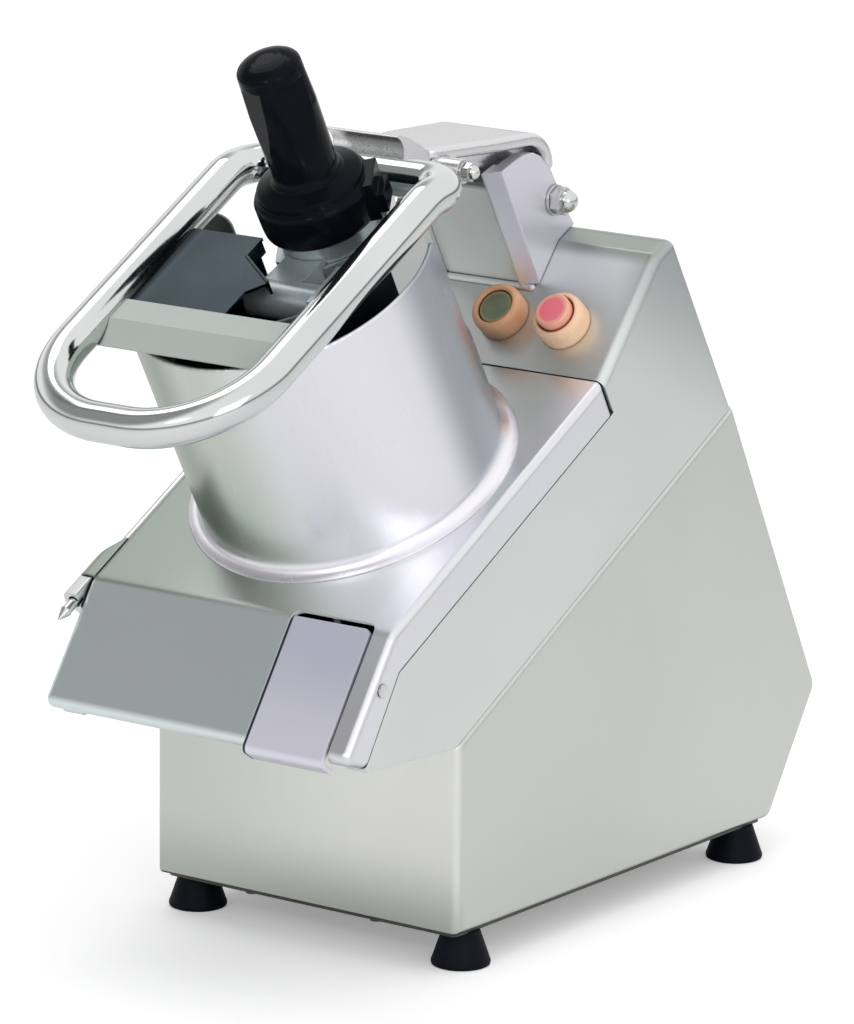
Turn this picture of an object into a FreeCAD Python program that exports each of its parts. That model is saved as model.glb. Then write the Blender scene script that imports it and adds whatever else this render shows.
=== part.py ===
import FreeCAD, Part
import math
import os

os.makedirs("parts", exist_ok=True)

# Commercial food processor with a slanted cutting disc. Millimetres, +Z up, front towards -Y.
# Two sets of coordinates are used. "Upright" is x to the right, y to the rear from the
# housing's front face, z up from the floor. "Slanted" is x, s and n: s climbs along the disc
# plane towards the rear, n stands square on it. Slanted shapes are tipped by the slope at the end.

V = FreeCAD.Vector

# Driving sizes, upright
slope = 29.0                      # disc plane against the floor, degrees
half_width = 120.0                # housing half width
housing_bottom = 25.5             # height of the housing's lower edge
housing_front_height = 148.5      # height of the seam at the front face
housing_bottom_depth = 358.0      # front face to the rear edge of the bottom
knee_depth = 411.0                # front face to the knee in the rear wall
knee_height = 107.0
sheet = 1.5                       # sheet steel thickness
foot_radius = 19.0
foot_top_radius = 12.0
foot_x = half_width - 14.0
foot_front_y = 25.0
foot_rear_y = housing_bottom_depth - 22.0

# Driving sizes, slanted
cover_top = 237.7                 # upper face of the cover along n
cover_rear = 306.0                # rear edge of the cover along s
crease_s = 55.6                   # crease between the cover's top and front face
lip_s, lip_n = -24.0, 197.2       # front edge of the cover
return_s, return_n = -8.4, 181.9  # inner end of the cover's bottom return
skirt_s = 47.6                    # front end of the cover's straight side skirt
skirt_depth = 24.5                # depth of the cover's side skirt
cover_wall = 3.0
head_top_s, head_top_n = 394.5, 273.3   # upper edge of the control panel
head_rear_s = 415.1               # rear edge of the head's top strip
disc_s = 188.0                    # disc and hopper axis along s
disc_radius = 101.0
chamber_radius = 106.0
chamber_floor = 164.0
head_wall = 5.0
deck_n = 230.5                    # top of the head's deck under the cover
hopper_radius = 100.0
hopper_wall = 3.0
hopper_rim = 400.0
foot_lip_radius = 109.0
pivot_s, pivot_n = 403.0, 300.0   # arm pivot
ear_x = 42.0                      # outer face of the neck's ears
ear_wall = 9.0
shield_height = 503.5             # top of the shield above the floor
shield_wall = 9.0
curl_start = 184.3                # where the shield's rear edge starts to bend, upright y
curl_radius = 28.0
curl_angle = 76.0                 # bend of the shield's rear edge
shield_tilt = 1.2                 # front of the shield raised by this angle
loop_n = 416.5                    # plane of the loop handle
loop_half = 78.0                  # centre line of the loop's limbs
loop_front = 12.0
loop_rear = 289.0
loop_front_corner = 66.0
loop_rear_corner = 24.0
tube_radius = 12.5
tube_wall = 1.5
feed_x, feed_s = 15.0, 226.0      # feed tube axis
feed_outer = 27.0
feed_inner = 25.2
pestle_stem = 24.9
boss_s, boss_n = 168.0, 394.0     # boss on the collar's front
side_s, side_n = 323.0, 383.0     # cross bolt through the arm
side_boss_x = 50.0
presser_radius = 83.0
presser_s = 193.0
presser_low = 237.0
presser_wall = 2.0
button_x = (26.5, 75.0)
button_along = 35.0               # up the panel from its lower edge
bezel_radius = 17.5
bezel_height = 15.5
pivot_bolt_radius = 5.0
small_bolt_radius = 3.0
latch_x0, latch_x1 = 42.0, 103.0
latch_pin_down, latch_pin_deep = 35.0, 8.5
latch_bar_down, latch_bar_deep = 72.0, 15.0
latch_bar_radius = 4.0
hinge_x = -half_width - 5.0         # cover hinge axis
hinge_n = 229.5
hinge_pin_radius = 3.4
motor_s = 336.0
motor_radius = 58.0
motor_pulley_radius = 22.0
disc_pulley_radius = 78.0
shaft_radius = 10.0

# Clearances
gap = 0.3
seam = 0.8                        # open line between the cover and the head
panel_gap = 0.8                   # line between the cover's rear edge and the panel
running = 0.05
seat = 0.0

panel_angle = math.degrees(math.atan2(head_top_n - cover_top, head_top_s - cover_rear - panel_gap))
SIN, COS = math.sin(math.radians(slope)), math.cos(math.radians(slope))


def slanted(y, z):
    """Slanted s and n of an upright point."""
    return (y * COS + z * SIN, z * COS - y * SIN)


def upright(s, n):
    """Upright y and z of a slanted point."""
    return (s * COS - n * SIN, s * SIN + n * COS)


def tip(shape):
    """Turn a slanted shape into its upright place."""
    turned = shape.copy()
    turned.rotate(V(0, 0, 0), V(1, 0, 0), slope)
    return turned


def prism(points, x0, x1):
    """Prism along x of an outline given as pairs across x."""
    corners = [V(x0, a, b) for a, b in points]
    wire = Part.makePolygon(corners + [corners[0]])
    return Part.Face(wire).extrude(V(x1 - x0, 0, 0))


def rounded_wire(points, radii, place):
    """Closed outline with a rounded corner at each point, mapped by place(a, b)."""
    count = len(points)
    runs = []
    for i in range(count):
        before, here, after = points[i - 1], points[i], points[(i + 1) % count]
        r = radii[i]
        v1 = (before[0] - here[0], before[1] - here[1])
        v2 = (after[0] - here[0], after[1] - here[1])
        l1, l2 = math.hypot(*v1), math.hypot(*v2)
        u1, u2 = (v1[0] / l1, v1[1] / l1), (v2[0] / l2, v2[1] / l2)
        cosine = max(-1, min(1, u1[0] * u2[0] + u1[1] * u2[1]))
        half = math.acos(cosine) / 2
        if r <= 0 or abs(half - math.pi / 2) < 1e-6:
            runs.append((here, None, here))
            continue
        cut = r / math.tan(half)
        start = (here[0] + u1[0] * cut, here[1] + u1[1] * cut)
        end = (here[0] + u2[0] * cut, here[1] + u2[1] * cut)
        mid_dir = (u1[0] + u2[0], u1[1] + u2[1])
        length = math.hypot(*mid_dir)
        away = r / math.sin(half) - r
        middle = (here[0] + mid_dir[0] / length * away, here[1] + mid_dir[1] / length * away)
        runs.append((start, middle, end))
    edges = []
    for i in range(count):
        start, middle, end = runs[i]
        if middle is not None:
            edges.append(Part.Arc(place(*start), place(*middle), place(*end)).toShape())
        nxt = runs[(i + 1) % count][0]
        if math.hypot(nxt[0] - end[0], nxt[1] - end[1]) > 1e-6:
            edges.append(Part.LineSegment(place(*end), place(*nxt)).toShape())
    return Part.Wire(edges)


def rounded_prism(points, radii, x0, x1):
    wire = rounded_wire(points, radii, lambda a, b: V(x0, a, b))
    return Part.Face(wire).extrude(V(x1 - x0, 0, 0))


def plate_n(points, radii, n0, n1):
    """Prism along n of an outline given as x and s."""
    wire = rounded_wire(points, radii, lambda a, b: V(a, b, n0))
    return Part.Face(wire).extrude(V(0, 0, n1 - n0))


def inset(points, offsets):
    """Move each side of an outline inwards by its own offset; side i runs from point i."""
    count = len(points)
    area = sum(points[i][0] * points[(i + 1) % count][1] - points[(i + 1) % count][0] * points[i][1]
               for i in range(count))
    turn = 1 if area > 0 else -1
    lines = []
    for i in range(count):
        a, b = points[i], points[(i + 1) % count]
        dx, dy = b[0] - a[0], b[1] - a[1]
        length = math.hypot(dx, dy)
        nx, ny = -dy / length * turn, dx / length * turn
        lines.append((a[0] + nx * offsets[i], a[1] + ny * offsets[i], dx, dy))
    moved = []
    for i in range(count):
        ax, ay, adx, ady = lines[i - 1]
        bx, by, bdx, bdy = lines[i]
        cross = adx * bdy - ady * bdx
        t = ((bx - ax) * bdy - (by - ay) * bdx) / cross
        moved.append((ax + adx * t, ay + ady * t))
    return moved


def rod_x(x0, x1, a, b, radius):
    return Part.makeCylinder(radius, x1 - x0, V(x0, a, b), V(1, 0, 0))


def rod_n(x, s, n0, n1, radius):
    return Part.makeCylinder(radius, n1 - n0, V(x, s, n0), V(0, 0, 1))


def box(x0, x1, a0, a1, b0, b1):
    return Part.makeBox(x1 - x0, a1 - a0, b1 - b0, V(x0, a0, b0))


def turned_n(x, s, profile):
    """Solid turned about an axis along n; profile holds radius and n."""
    corners = [V(x + r, s, n) for r, n in profile]
    wire = Part.makePolygon(corners + [corners[0]])
    return Part.Face(wire).revolve(V(x, s, 0), V(0, 0, 1), 360)


def fuse(shapes):
    whole = shapes[0].fuse(shapes[1:]) if len(shapes) > 1 else shapes[0]
    return whole.removeSplitter()


def soften(shape, radius, chosen):
    """Round the edges that chosen(edge) picks; a size that won't build is halved."""
    for size in (radius, radius / 2):
        edges = [edge for edge in shape.Edges if chosen(edge)]
        try:
            done = shape.makeFillet(size, edges)
            if done.isValid() and done.Volume > 0:
                return done
        except Exception:
            continue
    return shape


def middle_of(edge):
    return edge.valueAt((edge.FirstParameter + edge.LastParameter) / 2)


def front_point(down, deep):
    """Point below the cover's front face: down from the crease, deep under the face."""
    ds, dn = lip_s - crease_s, lip_n - cover_top
    length = math.hypot(ds, dn)
    us, un = ds / length, dn / length
    return (crease_s + us * down - un * deep, cover_top + un * down + us * deep)


def front_plate(points, radii, deep0, deep1):
    """Plate parallel to the cover's front face, of an outline given as x and down."""
    wire = rounded_wire(points, radii, lambda a, b: V(a, *front_point(b, deep0)))
    a, b = front_point(0, deep0), front_point(0, deep1)
    return Part.Face(wire).extrude(V(0, b[0] - a[0], b[1] - a[1]))


def panel_point(along, out):
    a = math.radians(panel_angle)
    return (cover_rear + panel_gap + along * math.cos(a) - out * math.sin(a),
            cover_top + along * math.sin(a) + out * math.cos(a))


def hex_prism_x(x0, x1, a, b, across):
    r = across / math.sqrt(3)
    points = [(a + r * math.cos(math.radians(60 * i)), b + r * math.sin(math.radians(60 * i)))
              for i in range(6)]
    return prism(points, x0, x1)


def cap_nut_x(x, a, b, size, side):
    """Domed cap nut whose flat face lies at x; side +1 points it to +x."""
    across, height, dome = size * 1.7, size * 0.8, size * 0.78
    nut = hex_prism_x(min(x, x + side * height), max(x, x + side * height), a, b, across)
    sphere = Part.makeSphere(dome, V(x + side * height, a, b))
    bound = rod_x(min(x, x + side * (height + dome + 1)), max(x, x + side * (height + dome + 1)),
                  a, b, across)
    return fuse([nut, sphere.common(bound)])


# Housing
def housing_outline():
    seam_end = slanted(0, housing_front_height)[1]
    rear_top = upright(418.4, seam_end)
    return [(0, housing_bottom), (0, housing_front_height), rear_top,
            (knee_depth, knee_height), (housing_bottom_depth, housing_bottom)]


def base_housing():
    outline = housing_outline()
    outer = rounded_prism(outline, [2, 1, 1, 10, 8], -half_width, half_width)
    outer = soften(outer, 4.0, lambda e: abs(e.Length - (housing_front_height - housing_bottom - 3)) < 4
                   and abs(middle_of(e).y) < 0.1)
    shell_outline = inset(outline, [sheet, sheet, sheet, sheet, sheet])
    hollow = prism(shell_outline, -half_width + sheet, half_width - sheet)
    body = outer.cut(hollow)
    open_bottom = box(-half_width + 14, half_width - 14, 14, housing_bottom_depth - 14,
                      housing_bottom - 2, housing_bottom + 4)
    body = body.cut(open_bottom)
    seam_n = slanted(0, housing_front_height)[1]
    opening = box(-half_width + 12, half_width - 12, 90, 406, seam_n - 6, seam_n + 4)
    body = body.cut(tip(opening))
    slots = []
    for row in range(6):
        for side in (-1, 1):
            y0, z0 = knee_depth - 8, knee_height + 42 + row * 13
            slot = Part.makeBox(52, 120, 4.4, V(side * 52 - 26, y0 - 90, z0))
            slots.append(slot)
    rear_band = box(-half_width, half_width, 250, 420, 130, 260)
    slots = [slot.common(rear_band) for slot in slots]
    body = body.cut(Part.makeCompound(slots))
    for x, y in plate_screw_places():
        body = body.cut(Part.makeCylinder(2.0 + running, 10, V(x, y, housing_bottom - 2)))
    for x, y in foot_places():
        body = body.cut(Part.makeCylinder(4.0 + running, 10, V(x, y, housing_bottom - 2)))
    out, axis = gland_place()
    return body.cut(Part.makeCylinder(8.0 + running, 30, out - axis * 15, axis))


def base_plate():
    z1 = housing_bottom - gap
    plate = Part.makeBox(2 * half_width - 8, housing_bottom_depth - 10, 2.0,
                         V(-half_width + 4, 5, z1 - 2.0))
    holes = []
    for i in range(5):
        for j in range(3):
            holes.append(Part.makeBox(44, 4, 10, V(-78 + j * 56, 120 + i * 16, z1 - 6)))
    for x, y in foot_places():
        holes.append(Part.makeCylinder(4.2, 10, V(x, y, z1 - 6)))
    for x, y in plate_screw_places():
        holes.append(Part.makeCylinder(2.2, 10, V(x, y, z1 - 6)))
    plate = soften(plate, 5.0, lambda e: abs(e.Length - 2.0) < 0.01)
    return plate.cut(Part.makeCompound(holes))


def foot_places():
    return [(x, y) for y in (foot_front_y, foot_rear_y) for x in (-foot_x, foot_x)]


def plate_screw_places():
    return [(x, y) for y in (10.5, housing_bottom_depth - 10.0) for x in (-50, 50)]


def foot(x, y):
    top = housing_bottom - gap - 2.0
    r = foot_radius
    profile = [(0, 0), (r - 1.5, 0), (r - 0.4, 0.5), (r, 1.6), (r, 3.0), (r - 0.6, 4.4),
               (foot_top_radius, top), (5.2, top), (5.2, 8.0), (0, 8.0)]
    corners = [V(x + r, y, z) for r, z in profile]
    wire = Part.makePolygon(corners + [corners[0]])
    return Part.Face(wire).revolve(V(x, y, 0), V(0, 0, 1), 360)


def foot_studs():
    studs = []
    for x, y in foot_places():
        shank = Part.makeCylinder(4.0, housing_bottom + 12 - 9.0, V(x, y, 9.0))
        nut = Part.makeCylinder(7.0, 5.0, V(x, y, housing_bottom + sheet))
        studs.append(fuse([shank, nut]))
    return Part.makeCompound(studs)


def base_plate_screws():
    screws = []
    for x, y in plate_screw_places():
        z = housing_bottom - gap - 2.0
        head = Part.makeCylinder(4.0, 1.6, V(x, y, z - 1.6))
        shank = Part.makeCylinder(2.0, 7.0, V(x, y, z))
        screws.append(fuse([head, shank]))
    return Part.makeCompound(screws)


# Head
def head_outline():
    seam_n = slanted(0, housing_front_height)[1]
    seam_s = slanted(0, housing_front_height)[0]
    low_front = slanted(-93.8, 152.3)
    skirt = cover_top - skirt_depth - seam
    rise = math.atan2(cover_top - skirt_depth - return_n, skirt_s - return_s)
    edge_low = (return_s + seam * math.sin(rise), return_n - seam * math.cos(rise))
    edge_high = (skirt_s + seam * math.tan(rise / 2), skirt)
    return [(seam_s, seam_n), low_front, edge_low, edge_high,
            (cover_rear + panel_gap, skirt), (cover_rear + panel_gap, cover_top),
            (head_top_s, head_top_n), (head_rear_s, head_top_n - 0.9), (418.4, seam_n)]


def head_casting():
    outline = head_outline()
    body = rounded_prism(outline, [0, 0, 0, 4, 0, 0, 3, 8, 0], -half_width, half_width)
    body = soften(body, 7.0, lambda e: abs(abs(middle_of(e).x) - half_width) < 0.1
                  and middle_of(e).z > cover_top + 1)
    inner_x = half_width - cover_wall - 0.5
    skirt = cover_top - skirt_depth - seam
    body = body.cut(seam_groove(outline[0][0], outline[0][1]))
    deck = [front_point(78, 14.0), front_point(12, 14.0), (62.0, deck_n),
            (cover_rear - cover_wall - 0.6, deck_n), (cover_rear - cover_wall - 0.6, skirt - 4),
            (46, skirt - 4), (0.0, 183.0)]
    body = body.fuse(prism(deck, -inner_x, inner_x))
    chamber = rod_n(0, disc_s, chamber_floor, 400, chamber_radius)
    chamber = chamber.cut(box(-200, 200, cover_rear, 600, 0, 500))
    chute_half = half_width - 16.0
    chute = prism([(disc_s, chamber_floor), (106.0, chamber_floor), slanted(-6, 140),
                   slanted(-140, 140), (-60, 300), (disc_s, 300)], -chute_half, chute_half)
    body = body.cut(chamber).cut(chute)
    seam_n = outline[0][1]
    hollow = [(92, seam_n - 10), (92, seam_n + 6), (116, 156), (300, 156), (300, 229),
              (307, 231), (head_top_s, head_top_n - head_wall - 2),
              (head_rear_s - head_wall, head_top_n - head_wall - 2), (412.5, seam_n - 10)]
    body = body.cut(prism(hollow, -half_width + head_wall, half_width - head_wall))
    body = body.cut(rod_n(0, disc_s, 140, 200, shaft_radius + 2))
    ring = rod_n(0, disc_s, chamber_floor - 1, chamber_floor + 8, 22).cut(
        rod_n(0, disc_s, chamber_floor - 2, chamber_floor + 9, 18))
    body = body.fuse(ring)
    for x in button_x:
        a, b = panel_point(button_along, -20)
        axis = V(0, -math.sin(math.radians(panel_angle)), math.cos(math.radians(panel_angle)))
        body = body.cut(Part.makeCylinder(8.0 + running, 40, V(x, a, b), axis))
    bar_s, bar_n = front_point(latch_bar_down, latch_bar_deep)
    body = body.cut(rod_x(-chute_half - 6, chute_half + 6, bar_s, bar_n, latch_bar_radius))
    for s, x in flange_screw_places():
        body = body.cut(rod_n(x, s, 145, 158, 2.0))
    return body.removeSplitter()


def seam_groove(s0, n0):
    """Shadow line round the head's lower edge, where it stands on the housing."""
    deep, high = 1.4, 1.0
    band = box(-half_width - 5, half_width + 5, s0 - 5, 440, n0 - 1, n0 + high)
    return band.cut(box(-half_width + deep, half_width - deep, s0 + deep, 418.4 - deep, n0 - 2, n0 + 5))


def flange_screw_places():
    return [(disc_s + 43 * math.cos(math.radians(45 + 90 * i)), 43 * math.sin(math.radians(45 + 90 * i)))
            for i in range(4)]


def latch_bar():
    bar_s, bar_n = front_point(latch_bar_down, latch_bar_deep)
    return rod_x(-half_width + 10.0, half_width - 10.0, bar_s, bar_n, latch_bar_radius)


# Cover and hopper
def cover_outline():
    return [(cover_rear, cover_top), (crease_s, cover_top), (lip_s, lip_n), (return_s, return_n),
            (skirt_s, cover_top - skirt_depth), (cover_rear, cover_top - skirt_depth)]


def cover():
    outline = cover_outline()
    shape = rounded_prism(outline, [1, 16, 6, 0, 4, 0], -half_width, half_width)
    shape = soften(shape, 5.0, lambda e: abs(abs(middle_of(e).x) - half_width) < 0.1
                   and on_skin(middle_of(e)))
    inside = inset(outline, [cover_wall, cover_wall, cover_wall, -12.0, -12.0, cover_wall])
    hollow = rounded_prism(inside, [0, 13, 3, 0, 0, 0], -half_width + cover_wall, half_width - cover_wall)
    shape = shape.cut(hollow)
    shape = shape.cut(rod_n(0, disc_s, 200, 260, hopper_radius - hopper_wall))
    slot = [(latch_x0 - 1.0, -4.0), (latch_x1 + 1.5, -4.0), (latch_x1 + 1.5, 140.0), (latch_x0 - 1.0, 140.0)]
    shape = shape.cut(front_plate(slot, [6, 6, 0, 0], -10.0, 40.0))
    pin_s, pin_n = front_point(latch_pin_down, latch_pin_deep)
    lug = rod_x(latch_x0 - 7, latch_x0 - 1.0, pin_s, pin_n, 7.0)
    lug = lug.fuse(prism([front_point(28, 1.5), front_point(42, 1.5), front_point(42, 8),
                          front_point(28, 8)], latch_x0 - 7, latch_x0 - 1.0))
    shape = shape.fuse(lug)
    shape = shape.cut(rod_x(latch_x0 - 8, half_width + 1, pin_s, pin_n, 3.0 + running))
    for s0 in (57.2, 232.0):
        shape = shape.fuse(hinge_wing(s0, 38.0))
    shape = shape.cut(rod_s(hinge_x, hinge_n, 0, 300, hinge_pin_radius + running))
    return shape.removeSplitter()


def on_skin(point):
    """True on the cover's top, crease, front face and lip."""
    if point.z > cover_top - 0.2:
        return True
    ds, dn = lip_s - crease_s, lip_n - cover_top
    length = math.hypot(ds, dn)
    off = ((point.y - crease_s) * dn - (point.z - cover_top) * ds) / length
    along = ((point.y - crease_s) * ds + (point.z - cover_top) * dn) / length
    return abs(off) < 5.2 and -2 < along < length + 1.5 and point.y < cover_rear - 5


def rod_s(x, n, s0, s1, radius):
    return Part.makeCylinder(radius, s1 - s0, V(x, s0, n), V(0, 1, 0))


def hopper():
    outer, inner = hopper_radius, hopper_radius - hopper_wall
    flare, low, high = foot_lip_radius - hopper_radius, cover_top, hopper_rim
    turn = flare * (1 - math.sqrt(0.5))

    def at(r, n):
        return V(r, disc_s, n)
    edges = [Part.LineSegment(at(inner, low), at(outer + flare, low)).toShape(),
             Part.LineSegment(at(outer + flare, low), at(outer + flare, low + 0.7)).toShape(),
             Part.Arc(at(outer + flare, low + 0.7), at(outer + turn, low + 0.7 + turn),
                      at(outer, low + 0.7 + flare)).toShape(),
             Part.LineSegment(at(outer, low + 0.7 + flare), at(outer, high - 1.5)).toShape(),
             Part.Arc(at(outer, high - 1.5), at(outer - 1.5, high), at(inner, high - 1.5)).toShape(),
             Part.LineSegment(at(inner, high - 1.5), at(inner, low)).toShape()]
    wall = Part.Face(Part.Wire(edges)).revolve(V(0, disc_s, 0), V(0, 0, 1), 360)
    cut_points = [(206.0, 430.0), (206.0, hopper_rim + 14), (243.0, hopper_rim - 6), (243.0, 304.0),
                  (300.0, 304.0), (300.0, 430.0)]
    cut = rounded_prism(cut_points, [0, 0, 22, 16, 0, 0], -150, 150)
    return wall.cut(cut).removeSplitter()


def hinge_wing(s0, length):
    """Ear of the cover that swells out over the hinge pin and fades back into the edge."""
    side = -half_width
    out = hinge_x - 6.5
    top = Part.BSplineCurve()
    top.interpolate([V(out + 1.5, s0, 0), V(out, s0 + length * 0.25, 0), V(out + 2.0, s0 + length * 0.5, 0),
                     V(out + 7.0, s0 + length * 0.75, 0), V(side + 0.5, s0 + length, 0)])
    edges = [top.toShape(), Part.LineSegment(V(side + 0.5, s0 + length, 0), V(side + 2.0, s0 + length, 0)).toShape(),
             Part.LineSegment(V(side + 2.0, s0 + length, 0), V(side + 2.0, s0, 0)).toShape(),
             Part.LineSegment(V(side + 2.0, s0, 0), V(out + 1.5, s0, 0)).toShape()]
    wing = Part.Face(Part.Wire(edges)).extrude(V(0, 0, 17.0))
    wing.translate(V(0, 0, cover_top - 17.0))
    shaped = [(side + 3.0, cover_top), (out - 1.0, cover_top), (out - 1.0, hinge_n - 3.0),
              (hinge_x, cover_top - 15.5), (side + 3.0, cover_top - 15.5)]
    wire = rounded_wire(shaped, [0, 7, 6, 5, 0], lambda a, b: V(a, s0 - 1, b))
    return wing.common(Part.Face(wire).extrude(V(0, length + 2, 0)))


def hinge_lug(s0, s1):
    """Cast lug on the head's left side that carries the hinge pin."""
    top = cover_top - 1.7
    low = cover_top - skirt_depth - 14.0
    outline = [(-half_width, low), (-half_width, low + 10.0), (-half_width - 0.9, low + 13.0),
               (-half_width - 0.9, top), (hinge_x - 7.5, top), (hinge_x - 7.5, hinge_n - 3.0),
               (hinge_x + 0.5, hinge_n - 9.5)]
    wire = rounded_wire(outline, [0, 0, 0, 1.5, 4, 4, 6], lambda a, b: V(a, s0, b))
    lug = Part.Face(wire).extrude(V(0, s1 - s0, 0))
    lug = lug.cut(rod_s(hinge_x, hinge_n, s0 - 1, s1 + 1, hinge_pin_radius + running))
    if s0 < 100:
        lug = lug.cut(rod_s(hinge_x, hinge_n, s0 - 1, s0 + 5.0, hinge_pin_radius + 0.9))
    return lug


def hinge_pin():
    body = rod_s(hinge_x, hinge_n, 29.0, 280.0, hinge_pin_radius)
    cone = Part.makeCone(0.4, 4.0, 9.0, V(hinge_x, 20.5, hinge_n), V(0, 1, 0))
    head = rod_s(hinge_x, hinge_n, 280.0, 283.0, 4.4)
    return fuse([body, cone, head])


# Latch
def latch_lever():
    top, low = 0.5, 92.5
    face = [front_point(top, -1.2), front_point(low, -1.2), front_point(low, 13.0),
            front_point(low - 3.0, 13.0), front_point(low - 3.0, 2.2), front_point(top, 2.2)]
    lever = rounded_prism(face, [1.2, 5, 1, 1, 2, 1], latch_x0, latch_x1)
    bound = [(latch_x0, top), (latch_x1, top), (latch_x1, low + 5.0), (latch_x0, low + 5.0)]
    lever = lever.common(front_plate(bound, [5, 5, 0, 0], -10.0, 40.0))
    pin_s, pin_n = front_point(latch_pin_down, latch_pin_deep)
    for x0 in (latch_x0 + 1.5, latch_x1 - 5.5):
        ear = rod_x(x0, x0 + 4.0, pin_s, pin_n, 6.0)
        web = prism([front_point(24, 1.5), front_point(46, 1.5), front_point(40, 10), front_point(30, 10)],
                    x0, x0 + 4.0)
        lever = lever.fuse(ear).fuse(web)
    rib_low = latch_bar_down + latch_bar_radius + 1.0
    hook = prism([front_point(rib_low, 1.5), front_point(rib_low + 3.2, 1.5),
                  front_point(rib_low + 3.2, 23.0), front_point(rib_low, 23.0)], 58.0, 84.0)
    lever = lever.fuse(hook)
    lever = lever.cut(rod_x(latch_x0 - 2, latch_x1 + 2, pin_s, pin_n, 3.0 + running))
    return lever.removeSplitter()


def latch_pin():
    pin_s, pin_n = front_point(latch_pin_down, latch_pin_deep)
    body = rod_x(latch_x0 - 8.0, half_width + 0.4, pin_s, pin_n, 3.0)
    head = rod_x(half_width + gap, half_width + 1.8, pin_s, pin_n, 4.2)
    return fuse([body, head])


# Neck and arm
def neck_bracket():
    """Cast fork on the head: two wings with bevelled fronts, joined by a set-back web."""
    front = 358.5
    p0 = (front, panel_height(front))
    ear = [p0, (front, 300.0), (front - 3.5, 352.5), (378.0, 348.5), (390.0, 345.5), (398.0, 341.5),
           (404.0, 334.0), (408.5, 321.0), (410.0, 306.0), (410.0, 291.0), (413.5, head_top_n - 0.8),
           (head_top_s, head_top_n)]
    radii = [0, 60, 3, 20, 10, 6, 6, 10, 30, 12, 0, 0]
    pieces = []
    for side in (-1, 1):
        wide = sorted((side * ear_x, side * (ear_x - ear_wall)))
        thick = sorted((side * ear_x, side * (ear_x - 12.0)))
        wing = rounded_prism(ear, radii, *wide)
        lead = rounded_prism(ear, radii, *thick)
        lead = lead.common(box(-60, 60, 340, 372, 200, 400))
        bevel = plate_n([(side * (ear_x - 12.0), 340.0), (side * (ear_x - 12.0), front - 0.5),
                         (side * (ear_x + 1.0), front + 6.5), (side * (ear_x + 1.0), 340.0)],
                        [0] * 4, 200.0, 400.0)
        pieces.append(wing.fuse(lead).cut(bevel))
        pieces.append(wing_root(side))
    web = [(front + 3.5, panel_height(front + 3.5)), (front + 3.0, 337.0), (front + 10.0, 337.0),
           (front + 13.0, panel_height(front + 13.0))]
    pieces.append(rounded_prism(web, [0, 2, 2, 0], -ear_x + 8, ear_x - 8))
    a, b = panel_point(58.0, 0.4)
    bead = rod_x(-ear_x + 4.0, ear_x - 4.0, a, b, 2.4).fuse(Part.makeSphere(2.4, V(ear_x - 4.0, a, b)))
    bead = bead.fuse(Part.makeSphere(2.4, V(-ear_x + 4.0, a, b)))
    pieces.append(bead.cut(below_panel()))
    shape = fuse(pieces)
    return shape.cut(rod_x(-ear_x - 1, ear_x + 1, pivot_s, pivot_n, pivot_bolt_radius + running))


def panel_height(s):
    """Height along n of the control panel's face at s."""
    return cover_top + (s - cover_rear - panel_gap) * math.tan(math.radians(panel_angle))


def below_panel():
    """Room of the head under its panel, for trimming what stands on it."""
    return prism([(300.0, panel_height(300.0)), (380.0, panel_height(380.0)), (380.0, 100.0), (300.0, 100.0)],
                 -200, 200)


def wing_root(side):
    """Hollow fillet where a wing of the fork runs out into the head."""
    r = 10.0
    x0 = side * (ear_x - 3.0)
    x1, x2 = side * ear_x, side * (ear_x + r)
    turn = r * (1 - math.sqrt(0.5))

    def section(s, n):
        arc = Part.Arc(V(x1, s, n + r), V(side * (ear_x + turn), s, n + turn), V(x2, s, n + 0.02)).toShape()
        lines = [Part.LineSegment(V(x2, s, n + 0.02), V(x2, s, n)).toShape(),
                 Part.LineSegment(V(x2, s, n), V(x0, s, n)).toShape(),
                 Part.LineSegment(V(x0, s, n), V(x0, s, n + r)).toShape(),
                 Part.LineSegment(V(x0, s, n + r), V(x1, s, n + r)).toShape()]
        return Part.Face(Part.Wire([arc] + lines))
    front = 362.0
    rise = section(front, panel_height(front)).extrude(
        V(0, head_top_s - front, head_top_n - panel_height(front)))
    level = section(head_top_s, head_top_n).extrude(V(0, 17.0, -17.0 * 0.9 / (head_rear_s - head_top_s)))
    taper = plate_n([(x0, 355.0), (x2 + side * 2, 355.0), (x2 + side * 2, 386.0), (x1, 363.0), (x0, 363.0)],
                    [0] * 5, 200.0, 400.0)
    return rise.fuse(level).cut(taper).removeSplitter()


def arm_pivot_bolt():
    return rod_x(-ear_x - 8, ear_x + 8, pivot_s, pivot_n, pivot_bolt_radius)


def arm_pivot_washers():
    rings = []
    for side in (-1, 1):
        x0 = ear_x if side > 0 else -ear_x - 2.0
        ring = rod_x(x0, x0 + 2.0, pivot_s, pivot_n, 10.0)
        rings.append(ring.cut(rod_x(x0 - 1, x0 + 3, pivot_s, pivot_n, pivot_bolt_radius + running)))
    return Part.makeCompound(rings)


def arm_pivot_nuts():
    nuts = []
    for side in (-1, 1):
        nut = cap_nut_x(side * (ear_x + 2.0), pivot_s, pivot_n, 9.6, side)
        hole = rod_x(-ear_x - 8.5, ear_x + 8.5, pivot_s, pivot_n, pivot_bolt_radius + running)
        nuts.append(nut.cut(hole))
    return Part.makeCompound(nuts)


def shield_point(y, drop):
    """Point on the shield's top, y to the rear and drop below the top plane, upright sizes."""
    return slanted(y, shield_height - drop)


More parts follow.
